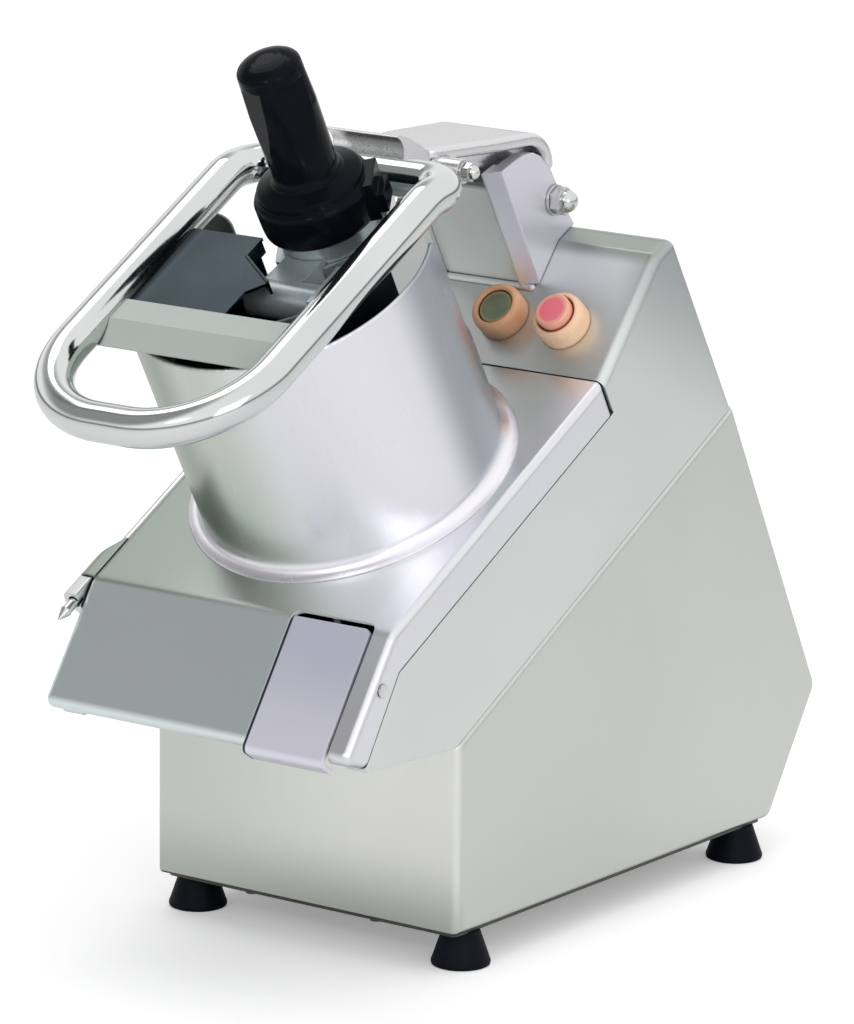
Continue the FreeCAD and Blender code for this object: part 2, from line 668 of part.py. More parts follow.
def shield_plate():
    """Smooth cast plate, nearly level in use, whose rear edge curls down behind the ears."""
    z = shield_height
    outline = [(-36.0, 130.0), (-26.0, 70.0), (6.0, 72.0), (34.0, 94.0), (39.5, 150.0), (39.5, 215.0),
               (-35.5, 215.0)]
    wire = rounded_wire(outline, [50, 24, 24, 24, 60, 9, 9], lambda a, b: V(a, b, z - 60))
    plan = Part.Face(wire).extrude(V(0, 0, 90.0))
    bend = math.radians(curl_angle)
    r1, r2 = curl_radius, curl_radius - shield_wall
    centre = z - curl_radius

    def on_arc(r, angle):
        return V(-60.0, curl_start + r * math.sin(angle), centre + r * math.cos(angle))
    end1, end2 = on_arc(r1, bend), on_arc(r2, bend)
    nose = V(-60.0, (end1.y + end2.y) / 2 + 0.5 * shield_wall * math.cos(bend),
             (end1.z + end2.z) / 2 - 0.5 * shield_wall * math.sin(bend))
    edges = [Part.LineSegment(V(-60.0, 20.0, z), on_arc(r1, 0)).toShape(),
             Part.Arc(on_arc(r1, 0), on_arc(r1, bend / 2), end1).toShape(),
             Part.Arc(end1, nose, end2).toShape(),
             Part.Arc(end2, on_arc(r2, bend / 2), on_arc(r2, 0)).toShape(),
             Part.LineSegment(on_arc(r2, 0), V(-60.0, 20.0, z - shield_wall)).toShape(),
             Part.LineSegment(V(-60.0, 20.0, z - shield_wall), V(-60.0, 20.0, z)).toShape()]
    strip = Part.Face(Part.Wire(edges)).extrude(V(130.0, 0, 0))
    plate = strip.common(plan)
    plate = soften(plate, 3.6, lambda e: abs(middle_of(e).z - z) < 0.1 and middle_of(e).y < curl_start - 0.5)
    plate = soften(plate, 2.4, lambda e: abs(middle_of(e).z - z + shield_wall) < 0.1
                   and middle_of(e).y < curl_start - 0.5)
    plate.rotate(V(0, curl_start, z), V(1, 0, 0), -shield_tilt)
    return plate


def untip(shape):
    back = shape.copy()
    back.rotate(V(0, 0, 0), V(1, 0, 0), -slope)
    return back


def arm_casting():
    bore = pivot_bolt_radius + running
    barrel = rod_x(-ear_x + ear_wall + 0.5, ear_x - ear_wall - 0.5, pivot_s, pivot_n, 17.0)
    rib = [(pivot_s - 14, pivot_n + 6), (pivot_s + 13, pivot_n + 8), (shield_point(194, 8)),
           (shield_point(124, 6)), (304.0, 394.0), (300.0, 388.0), (343.0, 364.0), (375.0, 345.6),
           (384.0, 322.0)]
    ribs = [prism(rib, -26.0, -18.0), prism(rib, 18.0, 26.0)]
    rear = [(pivot_s - 14, pivot_n + 2), (pivot_s + 10, pivot_n + 8), (shield_point(194, 8)),
            (shield_point(172, 6)), (386.0, 335.0)]
    web = prism(rear, -26.0, 26.0)
    block = rounded_prism([(loop_rear - 3, loop_n - 10), (loop_rear - 3, loop_n - 17),
                           (loop_rear + 16.5, loop_n - 21), (318.0, 387.0), (326.0, 391.0),
                           (loop_rear + 17.5, loop_n + 3), (loop_rear + 12, loop_n + 8),
                           (loop_rear + 5, loop_n + 8)], [0, 3, 3, 2, 2, 3, 3, 0], -28.0, 28.0)
    side_boss = rod_x(-side_boss_x, side_boss_x, side_s, side_n, 8.0)
    post = rod_n(-24.0, 312.0, 372.0, 402.0, 9.0)
    post = post.fuse(rod_n(-24.0, 312.0, 368.0, 372.0, 11.0))
    plate = untip(shield_plate())
    arm = fuse([barrel, web, block, side_boss, post] + ribs + [plate])
    arm = arm.cut(rod_x(-60, 60, pivot_s, pivot_n, bore))
    arm = arm.cut(rod_x(-60, 60, loop_rear, loop_n, tube_radius + running))
    arm = arm.cut(rod_x(-60, 60, side_s, side_n, small_bolt_radius + running))
    arm = arm.cut(rod_x(10.0, 40.0, 288.0, 384.0, 4.0 + running))
    return arm.removeSplitter()


def loop_wire(n):
    h = loop_half
    outline = [(-h, loop_front), (h, loop_front), (h, loop_rear), (-h, loop_rear)]
    radii = [loop_front_corner, loop_front_corner, loop_rear_corner, loop_rear_corner]
    return rounded_wire(outline, radii, lambda a, b: V(a, b, n))


def loop_handle():
    path = loop_wire(loop_n)
    start = path.Edges[0].valueAt(path.Edges[0].FirstParameter)
    direction = path.Edges[0].tangentAt(path.Edges[0].FirstParameter)
    outer = Part.Wire(Part.makeCircle(tube_radius, start, direction))
    inner = Part.Wire(Part.makeCircle(tube_radius - tube_wall, start, direction))
    solid = path.makePipeShell([outer], True, False)
    core = path.makePipeShell([inner], True, False)
    return solid.cut(core)


def cross_plate():
    """Bent strip welded between the limbs: level top and sloping front."""
    n1 = loop_n + 2.5
    outline = [(121.0, n1), (102.0, n1), (87.0, n1 - 10.5), (88.2, n1 - 12.2), (102.9, n1 - 2.0),
               (121.0, n1 - 2.0)]
    strip = prism(outline, -loop_half, loop_half)
    loop_solid = pipe_solid(tube_radius + 0.02)
    return biggest(strip.cut(loop_solid))


def pipe_solid(radius):
    path = loop_wire(loop_n)
    start = path.Edges[0].valueAt(path.Edges[0].FirstParameter)
    direction = path.Edges[0].tangentAt(path.Edges[0].FirstParameter)
    ring = Part.Wire(Part.makeCircle(radius, start, direction))
    return path.makePipeShell([ring], True, False)


def biggest(shape):
    return max(shape.Solids, key=lambda solid: solid.Volume)


def presser_panel():
    """Dark sheet between the limbs with a six-sided notch round the feed tube."""
    t = 2.0
    n1 = loop_n
    outline = [(-loop_half, 121.3), (9.0, 121.3), (9.0, 146.0), (19.0, 156.5), (-12.0, 177.5),
               (-12.0, 197.0), (-loop_half, 197.0)]
    sheet_plate = plate_n(outline, [0] * 7, n1 - t, n1)
    sheet_plate = sheet_plate.cut(pipe_solid(tube_radius + 0.02))
    sheet_plate = biggest(sheet_plate)
    down = 9.0
    walls = []
    for a, b in (((19.0, 156.5), (-12.0, 177.5)), ((-12.0, 177.5), (-12.0, 194.0))):
        dx, dy = b[0] - a[0], b[1] - a[1]
        length = math.hypot(dx, dy)
        nx, ny = dy / length * 1.5, -dx / length * 1.5
        quad = [a, b, (b[0] + nx, b[1] + ny), (a[0] + nx, a[1] + ny)]
        walls.append(plate_n(quad, [0] * 4, n1 - down, n1 + 1.2))
    return fuse([sheet_plate] + walls)


def presser_block():
    """Open-topped pusher box: the front part of a round, flat at the back, notched for the tube."""
    top = loop_n - 2.0
    r = presser_radius
    back = 197.0
    round_part = rod_n(0, presser_s, presser_low, top, r)
    keep = box(-200, 200, 0, back, 0, 600)
    outer = round_part.common(keep)
    tube_room = rod_n(feed_x, feed_s, 0, 600, feed_outer + 6.0)
    outer = outer.cut(tube_room)
    inner = rod_n(0, presser_s, presser_low + 3.0, top + 1, r - presser_wall)
    inner = inner.common(box(-200, 200, 0, back - presser_wall, 0, 600))
    inner = inner.cut(rod_n(feed_x, feed_s, 0, 600, feed_outer + 6.0 + presser_wall))
    shell = outer.cut(inner)
    boss_room = box(-19.0, 70.0, 149.0, 240.0, 372.0, 500.0)
    return biggest(shell.cut(boss_room).cut(pipe_solid(tube_radius + gap)))


def presser_foot_plate():
    """Round pressing plate under the box and the tube."""
    r = presser_radius
    plate = rod_n(0, presser_s, presser_low - 4.0, presser_low, r)
    plate = plate.common(box(-200, 200, 0, 262.0, 0, 600))
    return plate.cut(rod_n(feed_x, feed_s, 0, 600, feed_outer + running))


def feed_tube():
    tube = rod_n(feed_x, feed_s, presser_low - 4.0, 398.0, feed_outer)
    return tube.cut(rod_n(feed_x, feed_s, 0, 600, feed_inner))


def feed_collar():
    """Polished casting on the tube: round mouth, flat facets, front boss and rear lug."""
    mouth = rod_n(feed_x, feed_s, 402.0, 414.0, 30.5)
    cone = Part.makeCone(feed_outer + 1.5, 30.5, 10.0, V(feed_x, feed_s, 392.0), V(0, 0, 1))
    lower = rod_n(feed_x, feed_s, 366.0, 392.0, feed_outer + 2.5)
    facets = plate_n([(feed_x - 22, feed_s - 31), (feed_x + 16, feed_s - 31), (feed_x + 31, feed_s - 12),
                      (feed_x + 31, feed_s + 10), (feed_x - 31, feed_s + 10), (feed_x - 31, feed_s - 14)],
                     [3] * 6, 374.0, 400.0)
    boss = rod_x(-6.0, 52.0, boss_s, boss_n, 12.5)
    arm = prism([(164.0, 386.0), (200.0, 380.0), (214.0, 380.0), (214.0, 398.0), (200.0, 404.0),
                 (168.0, 406.0)], 2.0, 30.0)
    lug = prism([(feed_s + 20, 372.0), (277.0, 366.0), (284.0, 372.0), (282.0, 382.0), (feed_s + 20, 392.0)],
                10.0, 18.0)
    body = fuse([mouth, cone, lower, facets, boss, arm, lug])
    body = body.cut(rod_n(feed_x, feed_s, 300.0, 398.0, feed_outer + running))
    body = body.cut(rod_n(feed_x, feed_s, 390.0, 430.0, feed_inner))
    body = body.cut(rod_x(-20, 70, boss_s, boss_n, small_bolt_radius + running))
    body = body.cut(rod_x(0, 40, 276.5, 374.5, 3.0 + running))
    return body.removeSplitter()


def boss_bracket():
    """Gusset from the boss bolt up to the right limb."""
    plate = rounded_prism([(155.0, 383.0), (181.0, 383.0), (186.0, 404.0), (186.0, 412.0), (150.0, 412.0),
                           (150.0, 400.0)], [9, 9, 2, 0, 0, 2], 52.0 + seat, 56.0)
    tab = prism([(150.0, 412.0 - 3.0), (186.0, 412.0 - 3.0), (186.0, 412.0), (150.0, 412.0)], 54.0, 72.0)
    whole = fuse([plate, tab])
    whole = whole.cut(pipe_solid(tube_radius + 0.02))
    return biggest(whole.cut(rod_x(40, 70, boss_s, boss_n, small_bolt_radius + running)))


def boss_bolt():
    return rod_x(-12.0, 62.0, boss_s, boss_n, small_bolt_radius)


def presser_stay():
    """Flat link from the collar's rear lug to the arm."""
    x0, x1 = 18.0 + seat, 22.0
    bar = rounded_prism([(270.0, 366.0), (283.0, 366.0), (298.0, 378.0), (296.0, 390.0), (282.0, 390.0),
                         (270.0, 380.0)], [5, 5, 5, 5, 5, 5], x0, x1)
    for a, b, r in ((276.5, 374.5, 3.0), (288.0, 384.0, 4.0)):
        bar = bar.cut(rod_x(x0 - 1, x1 + 1, a, b, r + running))
    return bar


def stay_bolts():
    first = rod_x(7.5, 27.0, 276.5, 374.5, 3.0)
    first = first.fuse(hex_prism_x(22.0, 25.5, 276.5, 374.5, 10.0))
    first = first.fuse(hex_prism_x(7.0, 10.0, 276.5, 374.5, 10.0))
    return first.removeSplitter()


def arm_side_bolt():
    return rod_x(-side_boss_x - 6, side_boss_x + 6, side_s, side_n, small_bolt_radius)


def small_cap_nuts():
    """Four alike: two on the arm's cross bolt, two on the collar's boss bolt."""
    size, hole_radius = 6.2, small_bolt_radius + running
    arm_hole = rod_x(-side_boss_x - 6.5, side_boss_x + 6.5, side_s, side_n, hole_radius)
    boss_hole = rod_x(-12.5, 62.5, boss_s, boss_n, hole_radius)
    nuts = [cap_nut_x(side * (side_boss_x + 1.5), side_s, side_n, size, side).cut(arm_hole)
            for side in (-1, 1)]
    nuts.append(cap_nut_x(-7.5, boss_s, boss_n, size, -1).cut(boss_hole))
    nuts.append(cap_nut_x(57.5, boss_s, boss_n, size, 1).cut(boss_hole))
    return Part.makeCompound(nuts)


def small_washers():
    rings = []
    for x0, a, b in ((side_boss_x, side_s, side_n), (-side_boss_x - 1.5, side_s, side_n),
                     (-7.5, boss_s, boss_n), (56.0, boss_s, boss_n)):
        ring = rod_x(x0, x0 + 1.5, a, b, 6.6)
        rings.append(ring.cut(rod_x(x0 - 1, x0 + 3, a, b, small_bolt_radius + running)))
    return Part.makeCompound(rings)


def pestle():
    """Solid pestle: turned body with moulded finger flats on the grip and a stepped side block."""
    grip, flange, skirt = 21.0, 38.0, 33.0
    top = 536.0
    profile = [(0, top)]
    for i in range(1, 9):
        a = math.radians(90.0 * i / 8)
        profile.append((grip * 0.98 * math.sin(a) ** 0.75, top - 7.0 * (1 - math.cos(a))))
    profile += [(grip + 0.6, 500.0), (grip + 0.2, 470.0), (grip, 455.0), (grip + 0.8, 452.0),
                (grip + 2.4, 450.6), (grip + 2.6, 449.4), (33.0, 445.6), (34.2, 444.8), (34.6, 441.0),
                (37.0, 439.6), (flange, 437.6), (flange, 432.0), (36.8, 426.0), (35.0, 419.0),
                (skirt, 414.0 + gap), (pestle_stem, 414.0 + gap), (pestle_stem, presser_low + 1.5),
                (pestle_stem - 1.5, presser_low), (0, presser_low)]
    body = turned_n(feed_x, feed_s, profile)
    block = box(24.0, 45.0, -11.0, 11.0, 417.0, 430.0).fuse(box(24.0, 40.5, -15.0, 15.0, 415.0, 441.0))
    block.rotate(V(0, 0, 0), V(0, 0, 1), 28.0)
    block.translate(V(feed_x, feed_s, 0))
    body = body.fuse(block)
    for i in range(4):
        body = body.cut(finger_flat(-110.0 + 90 * i))
    return body.removeSplitter()


def finger_flat(azimuth):
    """Sloping flat on the grip: deepest at its upper ledge, run out lower down."""
    high, low, deep, r = 523.0, 473.0, 3.6, 21.2
    side = [(r - deep, high), (r + 6.0, high + 2.5), (r + 6.0, low), (r + 0.2, low)]
    wedge = Part.Face(Part.makePolygon([V(a, -22.0, b) for a, b in side + side[:1]])).extrude(V(0, 44.0, 0))
    wedge.rotate(V(0, 0, 0), V(0, 0, 1), azimuth)
    wedge.translate(V(feed_x, feed_s, 0))
    return wedge


# Buttons
def button_axis():
    a = math.radians(panel_angle)
    return V(0, -math.sin(a), math.cos(a))


def on_panel(x, out, height, radius, radius2=None):
    a, b = panel_point(button_along, out)
    if radius2 is None:
        return Part.makeCylinder(radius, height, V(x, a, b), button_axis())
    return Part.makeCone(radius, radius2, height, V(x, a, b), button_axis())


def button_bezel(x):
    """Moulded collar with a rounded rim; its sleeve passes through the panel."""
    r, h = bezel_radius, bezel_height
    profile = [(8.0, 0.0), (r, 0.0), (r, h - 5.0), (r - 0.6, h - 2.4), (r - 2.0, h - 0.7), (r - 3.4, h),
               (r - 4.4, h - 0.5), (12.0 + gap, h - 2.0), (12.0 + gap, 2.5), (4.0 + gap, 2.5), (4.0 + gap, 0.0)]
    corners = [V(x + a, 0, b) for a, b in profile]
    ring = Part.Face(Part.makePolygon(corners + [corners[0]])).revolve(V(x, 0, 0), V(0, 0, 1), 360)
    ring.rotate(V(0, 0, 0), V(1, 0, 0), panel_angle)
    a, b = panel_point(button_along, 0.0)
    ring.translate(V(0, a, b))
    sleeve = on_panel(x, -15.0, 15.5, 8.0).cut(on_panel(x, -16.0, 20.0, 4.0 + gap))
    return fuse([ring, sleeve])


def button_cap(x, out, rim):
    head = on_panel(x, 7.0, out - 8.2, 12.0)
    head = head.fuse(on_panel(x, out - 1.2, 1.2, 12.0, rim))
    stem = on_panel(x, -17.5, 25.0, 4.0)
    return fuse([head, stem])


def switch_blocks():
    """Contact blocks clipped on the bezels' sleeves behind the panel, open for the button stems."""
    blocks = []
    for x in button_x:
        body = on_panel(x, -34.0, 26.0, 12.0)
        sleeve_room = on_panel(x, -15.0, 20.0, 8.0 + running)
        stem_room = on_panel(x, -22.0, 20.0, 5.0)
        blocks.append(body.cut(sleeve_room).cut(stem_room))
    return Part.makeCompound(blocks)


# Drive
def bearing_housing():
    profile = [(20.0 + running, 112.0), (30.0, 112.0), (33.0, 118.0), (33.0, 150.0), (50.0, 150.0),
               (50.0, 156.0 - seat), (15.0, 156.0 - seat), (15.0, 152.0), (20.0 + running, 152.0)]
    shape = turned_n(0, disc_s, profile)
    for s, x in flange_screw_places():
        shape = shape.cut(rod_n(x, s, 140, 160, 2.0 + running))
    return shape


def housing_screws():
    screws = []
    for s, x in flange_screw_places():
        screws.append(fuse([rod_n(x, s, 146.0, 157.5, 2.0 - 0.02), rod_n(x, s, 146.0, 150.0, 4.0)]))
    return Part.makeCompound(screws)


def bearing(n0):
    ring = rod_n(0, disc_s, n0, n0 + 12, 20.0).cut(rod_n(0, disc_s, n0 - 1, n0 + 13, shaft_radius + running))
    groove = rod_n(0, disc_s, n0 + 11, n0 + 13, 17.0).cut(rod_n(0, disc_s, n0 + 10, n0 + 14, 13.0))
    return ring.cut(groove)


def drive_shaft():
    lower = rod_n(0, disc_s, 80.0, 196.0, shaft_radius)
    upper = rod_n(0, disc_s, 196.0, 229.0, 8.0)
    flat = box(-9, 9, disc_s + 6.5, disc_s + 12, 205.0, 229.5)
    return fuse([lower, upper]).cut(flat)


def ejector_disc():
    profile = [(shaft_radius + running, 170.0), (17.4, 170.0), (17.4, 178.0), (98.0, 178.0), (98.0, 181.0),
               (17.4, 181.0), (17.4, 190.0), (shaft_radius + running, 190.0)]
    disc = turned_n(0, disc_s, profile)
    vanes = []
    for i in range(4):
        vane = box(16.0, 97.0, disc_s - 2, disc_s + 2, 180.5, 206.0)
        vane.rotate(V(0, disc_s, 0), V(0, 0, 1), 90 * i + 20)
        vanes.append(vane)
    return fuse([disc] + vanes)


def cutting_disc():
    profile = [(8.0 + running, 210.0), (22.0, 210.0), (26.0, 217.0), (disc_radius, 217.0),
               (disc_radius, 221.0), (8.0 + running, 221.0)]
    disc = turned_n(0, disc_s, profile)
    slots = []
    for i in range(3):
        slot = box(28.0, 96.0, disc_s - 3, disc_s + 9, 210, 230)
        slot.rotate(V(0, disc_s, 0), V(0, 0, 1), 120 * i)
        slots.append(slot)
    return disc.cut(Part.makeCompound(slots))


def disc_blades():
    blades = []
    for i in range(3):
        blade = prism([(disc_s + 9.0, 221.0), (disc_s + 22.0, 221.0), (disc_s + 22.0, 222.2),
                       (disc_s + 3.0, 224.2), (disc_s + 2.0, 223.8)], 29.0, 95.0)
        blade.rotate(V(0, disc_s, 0), V(0, 0, 1), 120 * i)
        blades.append(blade)
    return Part.makeCompound(blades)


def disc_nut():
    nut = turned_n(0, disc_s, [(8.0 + running, 221.0), (19.0, 221.0), (19.0, 225.5), (14.0, 229.0),
                               (8.0 + running, 229.0)])
    return nut


def pulley(x, s, radius, bore, n0, width):
    rim = [(bore, n0), (radius + 2.0, n0), (radius + 2.0, n0 + 1.5), (radius, n0 + 2.5),
           (radius, n0 + width - 2.5), (radius + 2.0, n0 + width - 1.5), (radius + 2.0, n0 + width),
           (bore, n0 + width)]
    shape = turned_n(x, s, rim)
    if radius > 50:
        for i in range(6):
            hole = rod_n(x + 46, s, n0 - 1, n0 + width + 1, 13.0)
            hole.rotate(V(x, s, 0), V(0, 0, 1), 60 * i)
            shape = shape.cut(hole)
    return shape


def belt():
    """Flat ribbed belt running round both pulleys with a running gap."""
    s1, s2 = disc_s, motor_s
    r1, r2 = disc_pulley_radius + gap, motor_pulley_radius + gap
    n0, n1 = 87.2, 98.8
    outer = belt_solid(s1, r1 + 3.0, s2, r2 + 3.0, n0, n1)
    inner = belt_solid(s1, r1, s2, r2, n0 - 1, n1 + 1)
    return outer.cut(inner)


def belt_solid(s1, r1, s2, r2, n0, n1):
    d = s2 - s1
    a = math.asin((r1 - r2) / d)
    p1 = V(r1 * math.cos(a), s1 + r1 * math.sin(a), n0)
    p2 = V(r2 * math.cos(a), s2 + r2 * math.sin(a), n0)
    q1, q2 = V(-p1.x, p1.y, n0), V(-p2.x, p2.y, n0)
    edges = [Part.LineSegment(p1, p2).toShape(), Part.Arc(p2, V(0, s2 + r2, n0), q2).toShape(),
             Part.LineSegment(q2, q1).toShape(), Part.Arc(q1, V(0, s1 - r1, n0), p1).toShape()]
    return Part.Face(Part.Wire(edges)).extrude(V(0, 0, n1 - n0))


def motor():
    r = motor_radius
    core = rod_n(0, motor_s, -54.0, 66.0, r - 4)
    fins = []
    for i in range(20):
        fin = box(r - 6, r, motor_s - 1.2, motor_s + 1.2, -46.0, 58.0)
        fin.rotate(V(0, motor_s, 0), V(0, 0, 1), 18 * i)
        fins.append(fin)
    body = fuse([core] + fins)
    bell = Part.makeCone(r - 14, r - 4, 10.0, V(0, motor_s, -64.0), V(0, 0, 1))
    return fuse([body, bell]).cut(rod_n(0, motor_s, 25.7, 80.0, 9.0 + running))


def motor_plate():
    plate = plate_n([(-66, 272), (66, 272), (66, 402), (-66, 402)], [8] * 4, 66.0 + seat, 72.0)
    plate = plate.cut(rod_n(0, motor_s, 60, 80, 20.0))
    for x, s in motor_bolt_places():
        plate = plate.cut(rod_n(x, s, 60, 80, 3.0 + running))
    for x, s in pillar_places():
        plate = plate.cut(rod_n(x, s, 60, 80, 3.0 + running))
    return plate


def motor_bolt_places():
    return [(32 * math.cos(math.radians(45 + 90 * i)), motor_s + 32 * math.sin(math.radians(45 + 90 * i)))
            for i in range(4)]


def pillar_places():
    return [(-56, 290), (56, 290), (-56, 392), (56, 392)]


def motor_bolts():
    bolts = []
    for x, s in motor_bolt_places():
        bolts.append(fuse([rod_n(x, s, 66.0, 73.0, 3.0), rod_n(x, s, 72.0, 76.0, 5.0)]))
    return Part.makeCompound(bolts)


def motor_pillars():
    """Stand-offs that hang the motor plate under the head's floor and top."""
    pillars = []
    for x, s in pillar_places():
        top = 156.0 if s < 300 else 266.0
        top = top - seat
        if s > 300:
            top = panel_under(s)
        body = rod_n(x, s, 72.0, top, 6.0)
        stud = rod_n(x, s, 62.0, 73.0, 3.0)
        nut = rod_n(x, s, 60.0, 66.0, 5.5)
        pillars.append(fuse([body, stud, nut]))
    return Part.makeCompound(pillars)


def panel_under(s):
    """Underside of the head's panel above s, flat top of a pillar just touching it."""
    x0, y0, x1, y1 = 307.0, 231.0, head_top_s, head_top_n - head_wall - 2
    return y0 + (s - 6.0 - x0) / (x1 - x0) * (y1 - y0)


def motor_shaft():
    return rod_n(0, motor_s, 26.0, 104.0, 9.0)


def gland_place():
    """Centre of the cable gland on the lower rear wall, and its outward direction."""
    dy, dz = knee_depth - housing_bottom_depth, knee_height - housing_bottom
    length = math.hypot(dy, dz)
    axis = V(0, dz / length, -dy / length)
    middle = V(-70.0, housing_bottom_depth + dy * 0.5, housing_bottom + dz * 0.5)
    return middle, axis


def cable_gland():
    out, axis = gland_place()
    flange = Part.makeCylinder(12.0, 4.0, out, axis)
    nose = Part.makeCone(10.0, 7.5, 12.0, out + axis * 4.0, axis)
    neck = Part.makeCylinder(8.0, 12.0, out - axis * 12.0, axis)
    nut = Part.makeCylinder(11.5, 4.0, out - axis * (sheet + 4.0), axis)
    whole = fuse([flange, nose, neck, nut])
    return whole.cut(Part.makeCylinder(4.5, 60.0, out - axis * 30, axis))


def make_parts():
    t = tip
    parts = {
        "base_housing": base_housing(),
        "base_plate": base_plate(),
        "foot_studs": foot_studs(),
        "base_plate_screws": base_plate_screws(),
        "head_casting": t(head_casting()),
        "latch_bar": t(latch_bar()),
        "cover": t(cover()),
        "hopper": t(hopper()),
        "hinge_lug_front": t(hinge_lug(39.0, 56.6)),
        "hinge_lug_rear": t(hinge_lug(270.6, 280.0)),
        "hinge_pin": t(hinge_pin()),
        "latch_lever": t(latch_lever()),
        "latch_pin": t(latch_pin()),
        "neck_bracket": t(neck_bracket()),
        "arm_pivot_bolt": t(arm_pivot_bolt()),
        "arm_pivot_washers": t(arm_pivot_washers()),
        "arm_pivot_cap_nuts": t(arm_pivot_nuts()),
        "arm_casting": t(arm_casting()),
        "arm_side_bolt": t(arm_side_bolt()),
        "small_cap_nuts": t(small_cap_nuts()),
        "small_washers": t(small_washers()),
        "loop_handle": t(loop_handle()),
        "cross_plate": t(cross_plate()),
        "presser_panel": t(presser_panel()),
        "presser_box": t(presser_block()),
        "presser_plate": t(presser_foot_plate()),
        "feed_tube": t(feed_tube()),
        "feed_collar": t(feed_collar()),
        "boss_bracket": t(boss_bracket()),
        "boss_bolt": t(boss_bolt()),
        "presser_stay": t(presser_stay()),
        "stay_bolt": t(stay_bolts()),
        "pestle": t(pestle()),
        "start_bezel": t(button_bezel(button_x[0])),
        "stop_bezel": t(button_bezel(button_x[1])),
        "start_button": t(button_cap(button_x[0], 13.0, 11.2)),
        "stop_button": t(button_cap(button_x[1], 21.0, 10.8)),
        "bearing_housing": t(bearing_housing()),
        "bearing_housing_screws": t(housing_screws()),
        "upper_bearing": t(bearing(140.0)),
        "lower_bearing": t(bearing(114.0)),
        "drive_shaft": t(drive_shaft()),
        "ejector_disc": t(ejector_disc()),
        "cutting_disc": t(cutting_disc()),
        "disc_blades": t(disc_blades()),
        "disc_nut": t(disc_nut()),
        "disc_pulley": t(pulley(0, disc_s, disc_pulley_radius, shaft_radius + running, 84.0, 18.0)),
        "motor_pulley": t(pulley(0, motor_s, motor_pulley_radius, 9.0 + running, 84.0, 18.0)),
        "drive_belt": t(belt()),
        "motor": t(motor()),
        "motor_shaft": t(motor_shaft()),
        "motor_plate": t(motor_plate()),
        "motor_pillars": t(motor_pillars()),
        "motor_bolts": t(motor_bolts()),
        "switch_blocks": t(switch_blocks()),
        "cable_gland": cable_gland(),
    }
    names = ("foot_front_left", "foot_front_right", "foot_rear_left", "foot_rear_right")
    for name, (x, y) in zip(names, foot_places()):
        parts[name] = foot(x, y)
    return parts


def main():
    parts = make_parts()
    whole = Part.makeCompound(list(parts.values()))
    bound = whole.optimalBoundingBox(False)
    shift = V(-(bound.XMin + bound.XMax) / 2, -(bound.YMin + bound.YMax) / 2, -bound.ZMin)
    for name, shape in parts.items():
        placed = shape.copy()
        placed.translate(shift)
        placed.exportStep("parts/" + name + ".step")
    print("size", round(bound.XLength, 2), round(bound.YLength, 2), round(bound.ZLength, 2))
    print("shift", [round(value, 4) for value in shift], "nodes", len(parts))
    return parts, shift


main()
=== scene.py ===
# %% [markdown]
# A commercial food processor, dressed for a studio picture. The machine's solids come from a packed
# model with every piece in place. This lesson gives each surface its finish, bends the handle's tube,
# turns the wall of the pestle's drum, and lights the whole as a catalogue picture.

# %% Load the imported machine
import bpy
import math
from mathutils import Matrix, Vector


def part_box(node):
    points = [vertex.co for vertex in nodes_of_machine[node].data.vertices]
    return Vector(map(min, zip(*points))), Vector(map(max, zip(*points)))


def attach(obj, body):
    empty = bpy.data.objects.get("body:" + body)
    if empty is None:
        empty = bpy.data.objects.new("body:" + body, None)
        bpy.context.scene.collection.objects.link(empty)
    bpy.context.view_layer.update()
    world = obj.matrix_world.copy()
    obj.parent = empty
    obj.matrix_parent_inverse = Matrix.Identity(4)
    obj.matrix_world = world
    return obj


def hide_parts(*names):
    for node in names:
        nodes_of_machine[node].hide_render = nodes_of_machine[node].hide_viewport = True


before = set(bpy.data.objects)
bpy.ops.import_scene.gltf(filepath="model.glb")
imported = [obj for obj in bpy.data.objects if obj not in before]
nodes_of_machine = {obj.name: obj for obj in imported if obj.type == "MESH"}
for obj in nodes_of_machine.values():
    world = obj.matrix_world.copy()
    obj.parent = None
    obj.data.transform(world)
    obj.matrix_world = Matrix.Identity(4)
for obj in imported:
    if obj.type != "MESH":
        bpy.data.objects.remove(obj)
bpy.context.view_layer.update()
bpy.ops.object.select_all(action="DESELECT")
print("pieces in the machine:", len(nodes_of_machine))

# %% [markdown]
# Every place below is counted from the housing: x = 0 is its middle, y = 0 its front face and z = 0 the
# floor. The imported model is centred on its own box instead, so one shift ties the two together. The disc
# plane slants, so most sizes are easier to give as s, up along the slant, and n, square to it.

# %% Tie the measuring point to the housing
housing_low, housing_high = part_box("base_housing")
shift = Vector(((housing_low.x + housing_high.x) / 2, housing_low.y, 0.0))
slope = math.radians(29.0)


def slanted_point(x, s, n):
    """A point given in millimetres along and square to the slanted disc plane."""
    y = s * math.cos(slope) - n * math.sin(slope)
    z = s * math.sin(slope) + n * math.cos(slope)
    return Vector((x, y, z)) / 1000 + shift


print("shift in mm:", [round(v * 1000, 2) for v in shift])

# %% [markdown]
# Finishes. A real surface is never one flat colour: sheet steel has fine rolling grain and slow, large
# changes of tone, cast metal is a little mottled, and polish differs from spot to spot. Each finish below
# is one Principled shader whose colour, roughness and bump come from noise in object coordinates, so the
# pattern stays on the metal whatever the view.

# %% Helpers for surface noise
even = (1.0, 1.0, 1.0)
unturned = (0.0, 0.0, 0.0)
rough_span = (0.30, 0.70)
tone_span = (0.32, 0.68)


